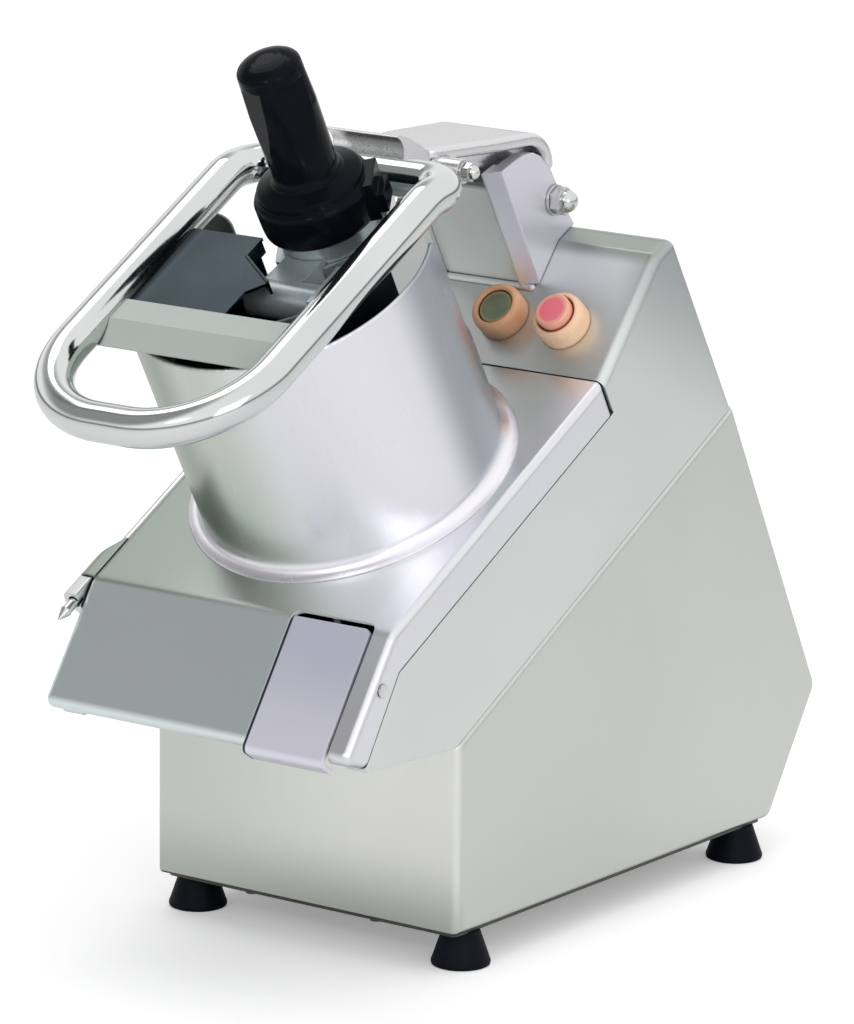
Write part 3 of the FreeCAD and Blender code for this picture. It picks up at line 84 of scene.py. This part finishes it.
def noise_on(nodes, links, where, scale, detail, stretch=even, turn=unturned):
    """Noise in object coordinates, stretched and turned on the piece."""
    mapping = nodes.new("ShaderNodeMapping")
    mapping.inputs["Scale"].default_value = stretch
    mapping.inputs["Rotation"].default_value = turn
    noise = nodes.new("ShaderNodeTexNoise")
    noise.inputs["Scale"].default_value = scale
    noise.inputs["Detail"].default_value = detail
    links.new(where.outputs["Object"], mapping.inputs["Vector"])
    links.new(mapping.outputs["Vector"], noise.inputs["Vector"])
    return noise


def between(nodes, links, source, low, high):
    """Turn noise into a value that runs between low and high."""
    spread = nodes.new("ShaderNodeMapRange")
    spread.inputs["From Min"].default_value, spread.inputs["From Max"].default_value = rough_span
    spread.inputs["To Min"].default_value = low
    spread.inputs["To Max"].default_value = high
    links.new(source.outputs["Fac"], spread.inputs["Value"])
    return spread


def tinted(nodes, links, source, light, dark):
    """Turn noise into a colour between two tones."""
    ramp = nodes.new("ShaderNodeValToRGB")
    for stop, position, tone in zip(ramp.color_ramp.elements, tone_span, (dark, light)):
        stop.position = position
        stop.color = (*tone, 1.0)
    links.new(source.outputs["Fac"], ramp.inputs["Fac"])
    return ramp


# %% [markdown]
# Two things make a solid model look real. Its sharp edges get the small radius that pressing and polishing
# leave, which the Bevel node gives to the shading alone. And seams and corners get painted shade: the Ambient
# Occlusion node finds them, and where it sees little open space, the tone is painted dark.

# %% Worn edges and painted seam shade
seam_span = (0.30, 0.72)


def eased_edges(nodes, radius):
    """Shading normal with a small radius on every sharp edge."""
    bevel = nodes.new("ShaderNodeBevel")
    bevel.samples = 4
    bevel.inputs["Radius"].default_value = radius
    return bevel


def painted_seam_shade(nodes, links, tone, seam_shade, reach):
    """Paint shade into a tone: darken it in narrow seams and corners."""
    open_space = nodes.new("ShaderNodeAmbientOcclusion")
    open_space.samples = 6
    open_space.inputs["Distance"].default_value = reach
    spread = nodes.new("ShaderNodeMapRange")
    spread.inputs["From Min"].default_value, spread.inputs["From Max"].default_value = seam_span
    mix = nodes.new("ShaderNodeMix")
    mix.data_type = "RGBA"
    mix.inputs["A"].default_value = (*seam_shade, 1.0)
    links.new(open_space.outputs["AO"], spread.inputs["Value"])
    links.new(spread.outputs["Result"], mix.inputs["Factor"])
    links.new(tone, mix.inputs["B"])
    return mix.outputs["Result"]


# %% [markdown]
# Satin metal mirrors a wide, blurred patch of the room, so one face often runs from light to dark. Where the
# tent of light alone doesn't give that, light and shade are painted in: the tone itself runs over into another
# one along an axis of the machine. A tone can also run over with the distance from a point.

# %% Tones that run over, for painted light and shade


def measured(nodes, links, where, operation, vector):
    """How far a point lies along a direction, or how far it is from a place."""
    rule = nodes.new("ShaderNodeVectorMath")
    rule.operation = operation
    rule.inputs[1].default_value = vector
    links.new(where.outputs["Object"], rule.inputs[0])
    return rule.outputs["Value"]


def run_into(nodes, links, value, tone, other, start, end):
    """Let a tone run over into another one while a value goes from start to end."""
    spread = nodes.new("ShaderNodeMapRange")
    spread.interpolation_type = "SMOOTHSTEP"
    spread.inputs["From Min"].default_value = start
    spread.inputs["From Max"].default_value = end
    links.new(value, spread.inputs["Value"])
    mix = nodes.new("ShaderNodeMix")
    mix.data_type = "RGBA"
    mix.inputs["B"].default_value = (*other, 1.0)
    links.new(spread.outputs["Result"], mix.inputs["Factor"])
    links.new(tone, mix.inputs["A"])
    return mix.outputs["Result"]


# %% The one recipe that all finishes share
cloud_detail, grain_detail = 3.0, 2.0
# black_seam_shade is the default colour of the painted shade in seams
black_seam_shade = (0.012, 0.013, 0.012)


def finish_of(name, light, dark, metallic, rough, cloud=5.0, grain=1400.0, depth=0.000004,
              stretch=even, turn=unturned, strength=0.3, edge=0.0006,
              seam_shade=black_seam_shade, reach=0.0022, painted_light_and_shade=(), rings=(), shine=0.5):
    """One finish: slow clouds of tone, painted light and shade, rings of tone, fine grain in the roughness,
    eased edges and painted shade in seams.
    """
    material = bpy.data.materials.new(name)
    material.use_nodes = True
    nodes, links = material.node_tree.nodes, material.node_tree.links
    shader = nodes["Principled BSDF"]
    where = nodes.new("ShaderNodeTexCoord")
    clouds = noise_on(nodes, links, where, cloud, cloud_detail)
    tone = tinted(nodes, links, clouds, light, dark).outputs["Color"]
    # painted light and shade: the tone runs over into a lighter or darker one along an axis
    for other, axis, start, end in painted_light_and_shade:
        along = measured(nodes, links, where, "DOT_PRODUCT", axis)
        tone = run_into(nodes, links, along, tone, other, start, end)
    for other, centre, start, end in rings:
        away = measured(nodes, links, where, "DISTANCE", centre)
        tone = run_into(nodes, links, away, tone, other, start, end)
    # painted shade: the tone goes dark in seams and corners, where shade would fall
    tone = painted_seam_shade(nodes, links, tone, seam_shade, reach)
    links.new(tone, shader.inputs["Base Color"])
    fine = noise_on(nodes, links, where, grain, grain_detail, stretch, turn)
    patchy = between(nodes, links, fine, *rough)
    links.new(patchy.outputs["Result"], shader.inputs["Roughness"])
    bump = nodes.new("ShaderNodeBump")
    bump.inputs["Strength"].default_value = strength
    bump.inputs["Distance"].default_value = depth
    links.new(fine.outputs["Fac"], bump.inputs["Height"])
    links.new(eased_edges(nodes, edge).outputs["Normal"], bump.inputs["Normal"])
    links.new(bump.outputs["Normal"], shader.inputs["Normal"])
    shader.inputs["Metallic"].default_value = metallic
    shader.inputs["Specular IOR Level"].default_value = shine
    material.diffuse_color = (*light, 1.0)
    return material


# %% [markdown]
# The directions that the tones run along. A direction needs no length of one: a weight on one axis only
# says how fast the value grows along it, which gives either a crisp line or a slow change.

# %% Directions on the machine
rightward = (1.0, 0.0, 0.0)
leftward = (-1.0, 0.0, 0.0)
downward = (0.0, 0.0, -1.0)
grain_up = (1.0, 1.0, 0.02)
up_slope = (0.0, -0.485, 0.875)
down_slope = (0.0, 0.485, -0.875)
front_of_slope = (0.0, -0.875, -0.485)
front_face = (0.8, -30.0, 0.0)
front_foot = (0.0, -3.0, -1.0)
head_rear_right = (3.0, 0.45, 0.89)
cover_rear_left = (-1.0, -2.91, 5.25)
across_right = (0.643, 0.670, 0.371)
across_left = (-0.866, -0.437, -0.242)
under_button = (-0.3, 0.45, -0.85)
print("disc plane's slope in degrees:", round(math.degrees(slope), 1))

# %% Sheet steel and the cast head
# Painted light and shade on the housing: the front face is painted lighter, most towards its right, painted
# darker towards the floor, and the lowest band is painted nearly black as shade under the housing.
sheet_finish = finish_of("satin_sheet", (0.680, 0.700, 0.668), (0.635, 0.660, 0.628), 1.0, (0.30, 0.38),
                         cloud=3.5, grain=900.0, stretch=grain_up,
                         painted_light_and_shade=[((0.84, 0.85, 0.80), front_face, 3.00, 3.14),
                                   ((0.50, 0.53, 0.49), front_foot, 0.232, 0.290),
                                   ((0.10, 0.10, 0.09), downward, -0.0276, -0.0268)])
# Painted shade on the head: darker towards its rear top right, and painted darker on its top.
head_finish = finish_of("satin_cast_head", (0.785, 0.805, 0.795), (0.725, 0.755, 0.740), 1.0, (0.34, 0.42),
                        painted_light_and_shade=[((0.43, 0.47, 0.47), head_rear_right, 0.710, 0.815),
                                  ((0.40, 0.44, 0.41), up_slope, 0.3190, 0.3225)])
print("two finishes for housing and head")

# %% Cover and hopper
# Painted light and shade on the cover: painted darker towards its rear left top, a painted tint of reflected
# light on the front face below the crease, a painted lilac reflection on its right side, and dark painted seam
# shade.
cover_finish = finish_of("satin_cast_cover", (0.80, 0.82, 0.82), (0.74, 0.77, 0.77), 1.0, (0.30, 0.38),
                         cloud=6.0, edge=0.0012, seam_shade=(0.03, 0.032, 0.032),
                         painted_light_and_shade=[((0.38, 0.43, 0.39), cover_rear_left, 1.645, 1.800),
                                   ((0.78, 0.85, 0.85), front_of_slope, 0.0343, 0.0370),
                                   ((0.81, 0.815, 0.845), rightward, 0.096, 0.103)])
# Painted light and shade on the hopper: a painted lilac reflection towards its right, painted shade at its right
# edge and down its left side, a painted highlight round its foot, and pale painted seam shade.
hopper_finish = finish_of("brushed_hopper", (0.85, 0.87, 0.86), (0.81, 0.83, 0.82), 1.0, (0.27, 0.33),
                          cloud=3.0, grain=900.0, depth=0.000002, stretch=(1.0, 0.03, 0.03),
                          turn=(-slope, 0.0, 0.0), edge=0.0018, seam_shade=(0.78, 0.77, 0.80),
                          painted_light_and_shade=[((0.86, 0.85, 0.91), rightward, 0.0, 0.09),
                                    ((0.43, 0.46, 0.50), across_right, 0.124, 0.152),
                                    ((0.60, 0.65, 0.60), across_left, -0.045, 0.0),
                                    ((0.32, 0.36, 0.32), across_left, 0.004, 0.030),
                                    ((0.95, 0.93, 0.98), down_slope, -0.300, -0.290)])
print("two finishes for cover and hopper")

# %% Latch, neck and arm
# Painted light and shade on the latch: a painted lilac sheen towards its lower end and a painted dark line of
# seam shade along its left edge.
latch_finish = finish_of("satin_latch", (0.66, 0.66, 0.78), (0.60, 0.60, 0.72), 0.40, (0.30, 0.36), cloud=8.0,
                         painted_light_and_shade=[((0.79, 0.78, 0.87), downward, -0.225, -0.165),
                                   ((0.03, 0.03, 0.05), leftward, -0.0480, -0.0472)])
# Painted lilac reflection on the neck's right side.
fork_finish = finish_of("satin_fork", (0.92, 0.95, 0.94), (0.85, 0.89, 0.88), 0.7, (0.32, 0.40), cloud=9.0,
                        edge=0.0016, painted_light_and_shade=[((0.76, 0.75, 0.84), rightward, 0.030, 0.044)])
shield_finish = finish_of("smooth_cast", (0.77, 0.76, 0.77), (0.69, 0.68, 0.71), 1.0, (0.22, 0.30), cloud=7.0,
                          edge=0.0012)
chrome_finish = finish_of("polished_chrome", (0.74, 0.76, 0.75), (0.68, 0.70, 0.70), 1.0, (0.09, 0.13),
                          cloud=9.0, grain=500.0, depth=0.000002)
cross_finish = finish_of("satin_strip", (0.53, 0.58, 0.54), (0.47, 0.52, 0.49), 0.1, (0.40, 0.50), cloud=12.0)
boss_finish = finish_of("satin_boss", (0.50, 0.56, 0.58), (0.40, 0.46, 0.48), 0.55, (0.26, 0.34), cloud=30.0)
print("six finishes for latch, neck and arm")

# %% Small parts and the metals inside
bolt_finish = finish_of("bright_bolts", (0.78, 0.79, 0.77), (0.62, 0.63, 0.62), 1.0, (0.10, 0.20), cloud=60.0,
                        reach=0.003)
dark_sheet_finish = finish_of("slate_sheet", (0.055, 0.072, 0.085), (0.028, 0.040, 0.048), 1.0, (0.26, 0.28),
                              cloud=9.0, grain=300.0, depth=0.000001, strength=0.03)
iron_finish = finish_of("painted_iron", (0.10, 0.11, 0.12), (0.07, 0.075, 0.08), 0.2, (0.45, 0.6), cloud=30.0,
                        grain=700.0)
machined_finish = finish_of("machined_steel", (0.62, 0.62, 0.62), (0.52, 0.52, 0.53), 1.0, (0.24, 0.34),
                            cloud=30.0)
box_finish = finish_of("dull_pusher_steel", (0.10, 0.12, 0.13), (0.06, 0.075, 0.085), 1.0, (0.28, 0.40),
                       cloud=20.0)
print("five finishes for small parts and the inside")

# %% [markdown]
# Plastics and rubber. The two push buttons stand square on the control panel, so the rings of colour on
# their caps are measured from points on that panel.

# %% Find a point on the control panel
panel_foot_s, panel_foot_n = 306.8, 237.7
panel_lean = math.atan2(35.6, 87.7)


def panel_point(x, along, out):
    """A point in millimetres up the control panel from its lower edge, and out of it."""
    return slanted_point(x, panel_foot_s + along * math.cos(panel_lean) - out * math.sin(panel_lean),
                         panel_foot_n + along * math.sin(panel_lean) + out * math.cos(panel_lean))


start_cap = panel_point(26.5, 35.0, 13.0)
stop_cap = panel_point(75.0, 35.0, 21.0)
print("caps at:", [round(v, 3) for v in start_cap], [round(v, 3) for v in stop_cap])

# %% Plastics and rubber
pestle_finish = finish_of("gloss_black", (0.005, 0.006, 0.009), (0.003, 0.004, 0.006), 0.0, (0.08, 0.13),
                          cloud=20.0, grain=800.0, edge=0.0014, shine=0.06)
rubber_finish = finish_of("black_rubber", (0.006, 0.008, 0.014), (0.004, 0.005, 0.008), 0.0, (0.42, 0.55),
                          cloud=40.0, grain=1200.0, depth=0.00006, shine=0.08)
dark_plastic = finish_of("black_plastic", (0.02, 0.02, 0.02), (0.012, 0.012, 0.012), 0.0, (0.4, 0.5), cloud=50.0)
print("three black finishes")

# %% The two push buttons
# Painted shade on the tan ring: darker under the button, and brown painted shade in the seam at its foot.
tan_finish = finish_of("tan_ring", (0.92, 0.52, 0.31), (0.74, 0.38, 0.20), 0.0, (0.35, 0.5), cloud=45.0,
                       edge=0.0012, seam_shade=(0.10, 0.04, 0.02), reach=0.004,
                       painted_light_and_shade=[((0.34, 0.20, 0.11), under_button, -0.318, -0.296)])
# Painted shade in the seam at the cream ring's foot.
cream_finish = finish_of("cream_ring", (1.0, 0.70, 0.46), (0.96, 0.58, 0.38), 0.0, (0.35, 0.5), cloud=45.0,
                         edge=0.0012, seam_shade=(0.30, 0.10, 0.05), reach=0.004)
# Painted shade in the seam round the green cap, tinted to the cap's colour.
green_finish = finish_of("green_cap", (0.19, 0.23, 0.14), (0.14, 0.17, 0.11), 0.0, (0.3, 0.42), cloud=80.0,
                         seam_shade=(0.30, 0.24, 0.10), reach=0.003,
                         rings=[((0.36, 0.30, 0.15), start_cap, 0.0085, 0.0115)])
# Painted shade in the seam round the red cap, tinted to the cap's colour.
red_finish = finish_of("red_cap", (1.0, 0.24, 0.29), (1.0, 0.20, 0.26), 0.0, (0.3, 0.4), cloud=80.0,
                       seam_shade=(0.45, 0.10, 0.06), rings=[((1.0, 0.46, 0.34), stop_cap, 0.0078, 0.0098)])
print("four finishes for the buttons")

# %% [markdown]
# Each node of the machine now takes its finish. The table below names the nodes by the metal that the
# maker would have used, so that neighbours from one casting share one finish.

# %% Give every node its finish
finish_table = {
    sheet_finish: ["base_housing", "base_plate", "base_plate_screws", "foot_studs", "motor_plate"],
    head_finish: ["head_casting", "hinge_lug_front", "hinge_lug_rear"],
    fork_finish: ["neck_bracket"],
    cover_finish: ["cover"],
    hopper_finish: ["hopper"],
    latch_finish: ["latch_lever"],
    shield_finish: ["arm_casting"],
    chrome_finish: ["loop_handle"],
    cross_finish: ["cross_plate"],
    boss_finish: ["feed_collar", "boss_bracket"],
    bolt_finish: ["arm_pivot_bolt", "arm_pivot_washers", "arm_pivot_cap_nuts", "arm_side_bolt", "small_cap_nuts",
                  "small_washers", "boss_bolt", "stay_bolt", "latch_pin", "hinge_pin", "latch_bar",
                  "presser_stay", "disc_nut"],
    dark_sheet_finish: ["presser_panel"],
    box_finish: ["presser_box", "ejector_disc"],
    machined_finish: ["presser_plate", "feed_tube", "drive_shaft", "cutting_disc", "disc_blades", "disc_pulley",
                      "motor_pulley", "motor_shaft", "upper_bearing", "lower_bearing", "bearing_housing",
                      "bearing_housing_screws", "motor_bolts", "motor_pillars"],
    pestle_finish: ["pestle"],
    rubber_finish: ["foot_front_left", "foot_front_right", "foot_rear_left", "foot_rear_right", "drive_belt"],
    tan_finish: ["start_bezel"],
    cream_finish: ["stop_bezel"],
    green_finish: ["start_button"],
    red_finish: ["stop_button"],
    dark_plastic: ["switch_blocks", "cable_gland"],
    iron_finish: ["motor"],
}
dressed = set()
for finish, node_names in finish_table.items():
    for node_name in node_names:
        piece = nodes_of_machine[node_name]
        piece.data.materials.clear()
        piece.data.materials.append(finish)
        dressed.add(node_name)
print("dressed:", len(dressed), "left:", sorted(set(nodes_of_machine) - dressed))

# %% [markdown]
# Two pieces are made here, both in the machine's own level plane, where z stands for n and y for s. Each mesh
# is welded, its normals are turned outward, and it is then tipped into the slant.

# %% Helpers for the two new pieces
quarter, whole = math.radians(90.0), math.radians(360.0)


def weld(distance):
    """Merge the doubled corners of the piece in edit mode and turn its normals outward."""
    bpy.ops.mesh.select_all(action="SELECT")
    bpy.ops.mesh.remove_doubles(threshold=distance)
    bpy.ops.mesh.normals_make_consistent(inside=False)
    bpy.ops.object.mode_set(mode="OBJECT")


def tip_into_slant(piece, finish):
    """Tip a piece that was made level into the machine's slant, and give it its finish."""
    piece.rotation_euler = (slope, 0.0, 0.0)
    piece.location = shift
    bpy.ops.object.transform_apply(location=True, rotation=True, scale=True)
    piece.data.materials.append(finish)


# %% [markdown]
# The handle is one bent tube. Near its rear the two limbs dip, so that the rear bar runs just below the
# front edge of the cast shield. A tube like this is modelled as it is bent: one ring is drawn out along each
# straight run and spun round the centre of each bend, which keeps the tube's section true all the way. Only
# the right half is bent, and a mirror makes the left one.

# %% Start the handle's tube with one ring
tube_radius = 0.0125
tube_corners = 48
handle_level = 0.4165
half_wide = 0.078
front_line = 0.012
front_bend = 0.066
rear_bend = 0.024
dip_start = 0.247
dip_bend, dip = 0.040, math.radians(20.0)
bpy.ops.object.select_all(action="DESELECT")
bpy.ops.mesh.primitive_circle_add(vertices=tube_corners, radius=tube_radius,
                                  location=(0.0, front_line, handle_level), rotation=(0.0, quarter, 0.0))
handle = bpy.context.object
handle.name = "bent_handle"
bpy.ops.object.transform_apply(location=True, rotation=True, scale=True)
print("ring corners:", len(handle.data.vertices))

# %% Bend the right half


def draw_out(run):
    """Pull the open ring along a straight run."""
    bpy.ops.mesh.extrude_region_move(TRANSFORM_OT_translate={"value": run})


def bend_round(centre, axis, angle, steps):
    """Carry the open ring round a bend, anticlockwise about the axis; the operator itself turns clockwise."""
    bpy.ops.mesh.spin(steps=steps, angle=-angle, center=centre, axis=axis)


bpy.ops.object.mode_set(mode="EDIT")
bpy.ops.mesh.select_all(action="SELECT")
draw_out((half_wide - front_bend, 0.0, 0.0))
bend_round((half_wide - front_bend, front_line + front_bend, handle_level), (0.0, 0.0, 1.0), quarter, 28)
draw_out((0.0, dip_start - front_line - front_bend, 0.0))
bend_round((half_wide, dip_start, handle_level - dip_bend), (1.0, 0.0, 0.0), -dip, 8)
bend_y = dip_start + dip_bend * math.sin(dip)
bend_z = handle_level - dip_bend * (1.0 - math.cos(dip))
bend_round((half_wide - rear_bend, bend_y, bend_z), (0.0, math.sin(dip), math.cos(dip)), quarter, 18)
draw_out((rear_bend - half_wide, 0.0, 0.0))
bpy.ops.object.mode_set(mode="OBJECT")
handle_low = min(corner.co.z for corner in handle.data.vertices)
print("rear bar's lowest line along n:", round(handle_low * 1000, 1))

# %% Mirror it and tip it into the slant
bpy.ops.object.modifier_add(type="MIRROR")
handle.modifiers["Mirror"].merge_threshold = 0.0002
bpy.ops.object.modifier_apply(modifier="Mirror")
bpy.ops.object.mode_set(mode="EDIT")
weld(0.0001)
bpy.ops.object.shade_smooth()
tip_into_slant(handle, chrome_finish)
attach(handle, "arm")
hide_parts("loop_handle")
print("handle faces:", len(handle.data.polygons))

# %% [markdown]
# The pestle's drum has an almost straight wall with a small rounded foot. It is a turned part, so its outline
# is drawn once, one corner after the other, and spun right round the pestle's axis.

# %% Draw the drum's outline as radius and n in millimetres
drum_x, drum_s = 0.015, 0.226
drum_outline = ((30.0, 437.2), (38.05, 437.2), (38.05, 431.0), (37.9, 424.0), (37.5, 418.6), (36.9, 416.6),
                (35.8, 415.1), (34.4, 414.6), (30.0, 414.6), (30.0, 437.2))
first_r, first_n = drum_outline[0]
bpy.ops.object.select_all(action="DESELECT")
bpy.ops.mesh.primitive_plane_add(size=0.002, location=(drum_x + first_r / 1000, drum_s, first_n / 1000))
drum = bpy.context.object
drum.name = "pestle_drum_sleeve"
bpy.ops.object.transform_apply(location=True, rotation=True, scale=True)
bpy.ops.object.mode_set(mode="EDIT")
bpy.ops.mesh.select_all(action="SELECT")
bpy.ops.mesh.merge(type="CENTER")
for (old_r, old_n), (new_r, new_n) in zip(drum_outline, drum_outline[1:]):
    step = ((new_r - old_r) / 1000, 0.0, (new_n - old_n) / 1000)
    bpy.ops.mesh.extrude_vertices_move(TRANSFORM_OT_translate={"value": step})
print("outline corners:", len(drum_outline))

# %% Spin it into a sleeve
bpy.ops.mesh.select_all(action="SELECT")
bpy.ops.mesh.spin(steps=72, angle=whole, center=(drum_x, drum_s, 0.0), axis=(0.0, 0.0, 1.0))
weld(0.00001)
bpy.ops.object.shade_smooth_by_angle(angle=math.radians(40.0))
tip_into_slant(drum, pestle_finish)
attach(drum, "pestle")
print("sleeve faces:", len(drum.data.polygons))

# %% [markdown]
# The studio. The machine stands on a pale floor. The world is a soft light tent: it is white to the camera,
# and its brightness changes slowly with direction for everything else, because satin metal only shows its
# form when what it mirrors is lighter on one side than on the other. A faint glow, seen by the camera alone,
# lifts the floor to the white of the paper and leaves the shadow in it.

# %% Floor
floor_glow = 0.27
bpy.ops.mesh.primitive_plane_add(size=12.0, location=(0.0, 0.0, 0.0))
floor = bpy.context.object
floor.name = "studio_floor"
floor_finish = bpy.data.materials.new("pale_floor")
floor_finish.use_nodes = True
floor_nodes, floor_links = floor_finish.node_tree.nodes, floor_finish.node_tree.links
floor_shader = floor_nodes["Principled BSDF"]
floor_shader.inputs["Base Color"].default_value = (0.93, 0.93, 0.93, 1.0)
floor_shader.inputs["Roughness"].default_value = 0.8
floor_shader.inputs["Specular IOR Level"].default_value = 0.0
paper = floor_nodes.new("ShaderNodeEmission")
floor_ray = floor_nodes.new("ShaderNodeLightPath")
paper_white = floor_nodes.new("ShaderNodeMath")
paper_white.operation = "MULTIPLY"
paper_white.inputs[1].default_value = floor_glow
lit_floor = floor_nodes.new("ShaderNodeAddShader")
floor_links.new(floor_ray.outputs["Is Camera Ray"], paper_white.inputs[0])
floor_links.new(paper_white.outputs["Value"], paper.inputs["Strength"])
floor_links.new(floor_shader.outputs["BSDF"], lit_floor.inputs[0])
floor_links.new(paper.outputs["Emission"], lit_floor.inputs[1])
floor_links.new(lit_floor.outputs["Shader"], floor_nodes["Material Output"].inputs["Surface"])
floor.data.materials.append(floor_finish)
print("floor glow:", floor_glow)

# %% Start the light tent
world = bpy.data.worlds.new("light_tent")
bpy.context.scene.world = world
world.use_nodes = True
tent_nodes, tent_links = world.node_tree.nodes, world.node_tree.links
tent_nodes.clear()
direction = tent_nodes.new("ShaderNodeTexCoord")


def facing(towards, start, end, low, high):
    """Brightness that runs from low to high as a direction turns towards the given one."""
    dot = tent_nodes.new("ShaderNodeVectorMath")
    dot.operation = "DOT_PRODUCT"
    dot.inputs[1].default_value = Vector(towards).normalized()
    spread = tent_nodes.new("ShaderNodeMapRange")
    spread.interpolation_type = "SMOOTHSTEP"
    spread.inputs["From Min"].default_value = start
    spread.inputs["From Max"].default_value = end
    spread.inputs["To Min"].default_value = low
    spread.inputs["To Max"].default_value = high
    tent_links.new(direction.outputs["Generated"], dot.inputs[0])
    tent_links.new(dot.outputs["Value"], spread.inputs["Value"])
    return spread.outputs["Result"]


def tent_math(operation, first, second):
    """Join two brightness values of the tent."""
    node = tent_nodes.new("ShaderNodeMath")
    node.operation = operation
    tent_links.new(first, node.inputs[0])
    tent_links.new(second, node.inputs[1])
    return node.outputs["Value"]


# %% Hang its walls
dark_side = facing((-0.58, -0.44, 0.69), 0.76, 0.93, 1.0, 0.32)
left_wall = facing((-0.577, 0.228, 0.784), 0.86, 0.99, 1.0, 0.43)
above_gap = facing((0.0, 0.0, 1.0), 0.07, 0.15, 0.25, 1.0)
below_gap = facing((0.0, 0.0, -1.0), 0.0, 0.08, 0.25, 1.0)
walls = tent_math("MULTIPLY", dark_side, left_wall)
horizon = tent_math("MAXIMUM", above_gap, below_gap)
together = tent_math("MULTIPLY", walls, horizon)
print("tent nodes:", len(tent_nodes))

# %% White to the camera, shaded to the metal
white = (1.0, 1.0, 1.0, 1.0)
tent_light = tent_nodes.new("ShaderNodeBackground")
tent_light.inputs["Color"].default_value = white
tent_links.new(together, tent_light.inputs["Strength"])
tent_seen = tent_nodes.new("ShaderNodeBackground")
tent_seen.inputs["Color"].default_value = white
tent_seen.inputs["Strength"].default_value = 1.0
ray_kind = tent_nodes.new("ShaderNodeLightPath")
choose = tent_nodes.new("ShaderNodeMixShader")
tent_out = tent_nodes.new("ShaderNodeOutputWorld")
tent_links.new(ray_kind.outputs["Is Camera Ray"], choose.inputs["Fac"])
tent_links.new(tent_light.outputs["Background"], choose.inputs[1])
tent_links.new(tent_seen.outputs["Background"], choose.inputs[2])
tent_links.new(choose.outputs["Shader"], tent_out.inputs["Surface"])
print("tent nodes:", len(tent_nodes))

# %% [markdown]
# Three soft lamps. The key box hangs high on the left, so its blurred mirror image lies on the cover's top.
# The side box lifts the right side, and a narrow strip in front draws the light line down the hopper.

# %% Lamps


def soft_lamp(name, place, aim, size, power, colour=(1.0, 1.0, 1.0), height=None):
    """Softbox at a place in metres, aimed at a point."""
    data = bpy.data.lights.new(name, "AREA")
    data.shape = "RECTANGLE"
    data.size = size
    data.size_y = height or size
    data.energy = power
    data.color = colour
    lamp = bpy.data.objects.new(name, data)
    bpy.context.scene.collection.objects.link(lamp)
    lamp.location = place
    lamp.rotation_euler = (Vector(aim) - Vector(place)).to_track_quat("-Z", "Y").to_euler()
    print(name, "shines with", power, "W")


soft_lamp("key_box", (-0.98, 0.08, 2.40), (0.0, 0.0, 0.3), 1.2, 7.6)
soft_lamp("side_box", (2.2, -1.6, 1.0), (0.0, 0.0, 0.25), 1.2, 7.0, (0.98, 0.97, 1.0))
soft_lamp("front_strip", (0.30, -2.60, 1.60), (0.0, 0.0, 0.4), 0.55, 5.0, (0.93, 0.94, 1.0), 0.12)

# %% [markdown]
# The camera stands where the photographer stood: to the right of the front, a little above, four metres away
# with a long lens, so that upright edges stay nearly parallel.

# %% Camera
turn, tilt, roll = 0.6339737, 0.2239201, 0.0093854
camera_distance = 4.0513241
focal_pixels, picture_pixels = 6230.6244, 1024.0
sensor = 36.0
aim_point = Vector((-15.614, 150.0, 253.064)) / 1000 + shift
backward = Vector((math.sin(turn) * math.cos(tilt), -math.cos(turn) * math.cos(tilt), math.sin(tilt)))
right_flat = Vector((math.cos(turn), math.sin(turn), 0.0))
up_flat = backward.cross(right_flat)
right = math.cos(roll) * right_flat + math.sin(roll) * up_flat
up = -math.sin(roll) * right_flat + math.cos(roll) * up_flat
camera_data = bpy.data.cameras.new("catalogue_camera")
camera = bpy.data.objects.new("catalogue_camera", camera_data)
bpy.context.scene.collection.objects.link(camera)
camera.matrix_world = Matrix([[right.x, up.x, backward.x, 0.0], [right.y, up.y, backward.y, 0.0],
                              [right.z, up.z, backward.z, 0.0], [0.0, 0.0, 0.0, 1.0]])
camera.location = aim_point + backward * camera_distance
camera_data.sensor_fit = "VERTICAL"
camera_data.sensor_height = sensor
camera_data.lens = focal_pixels / picture_pixels * sensor
camera_data.clip_end = 50.0
bpy.context.scene.camera = camera
bpy.context.scene.view_settings.view_transform = "Standard"
print("camera at", [round(v, 4) for v in camera.location])
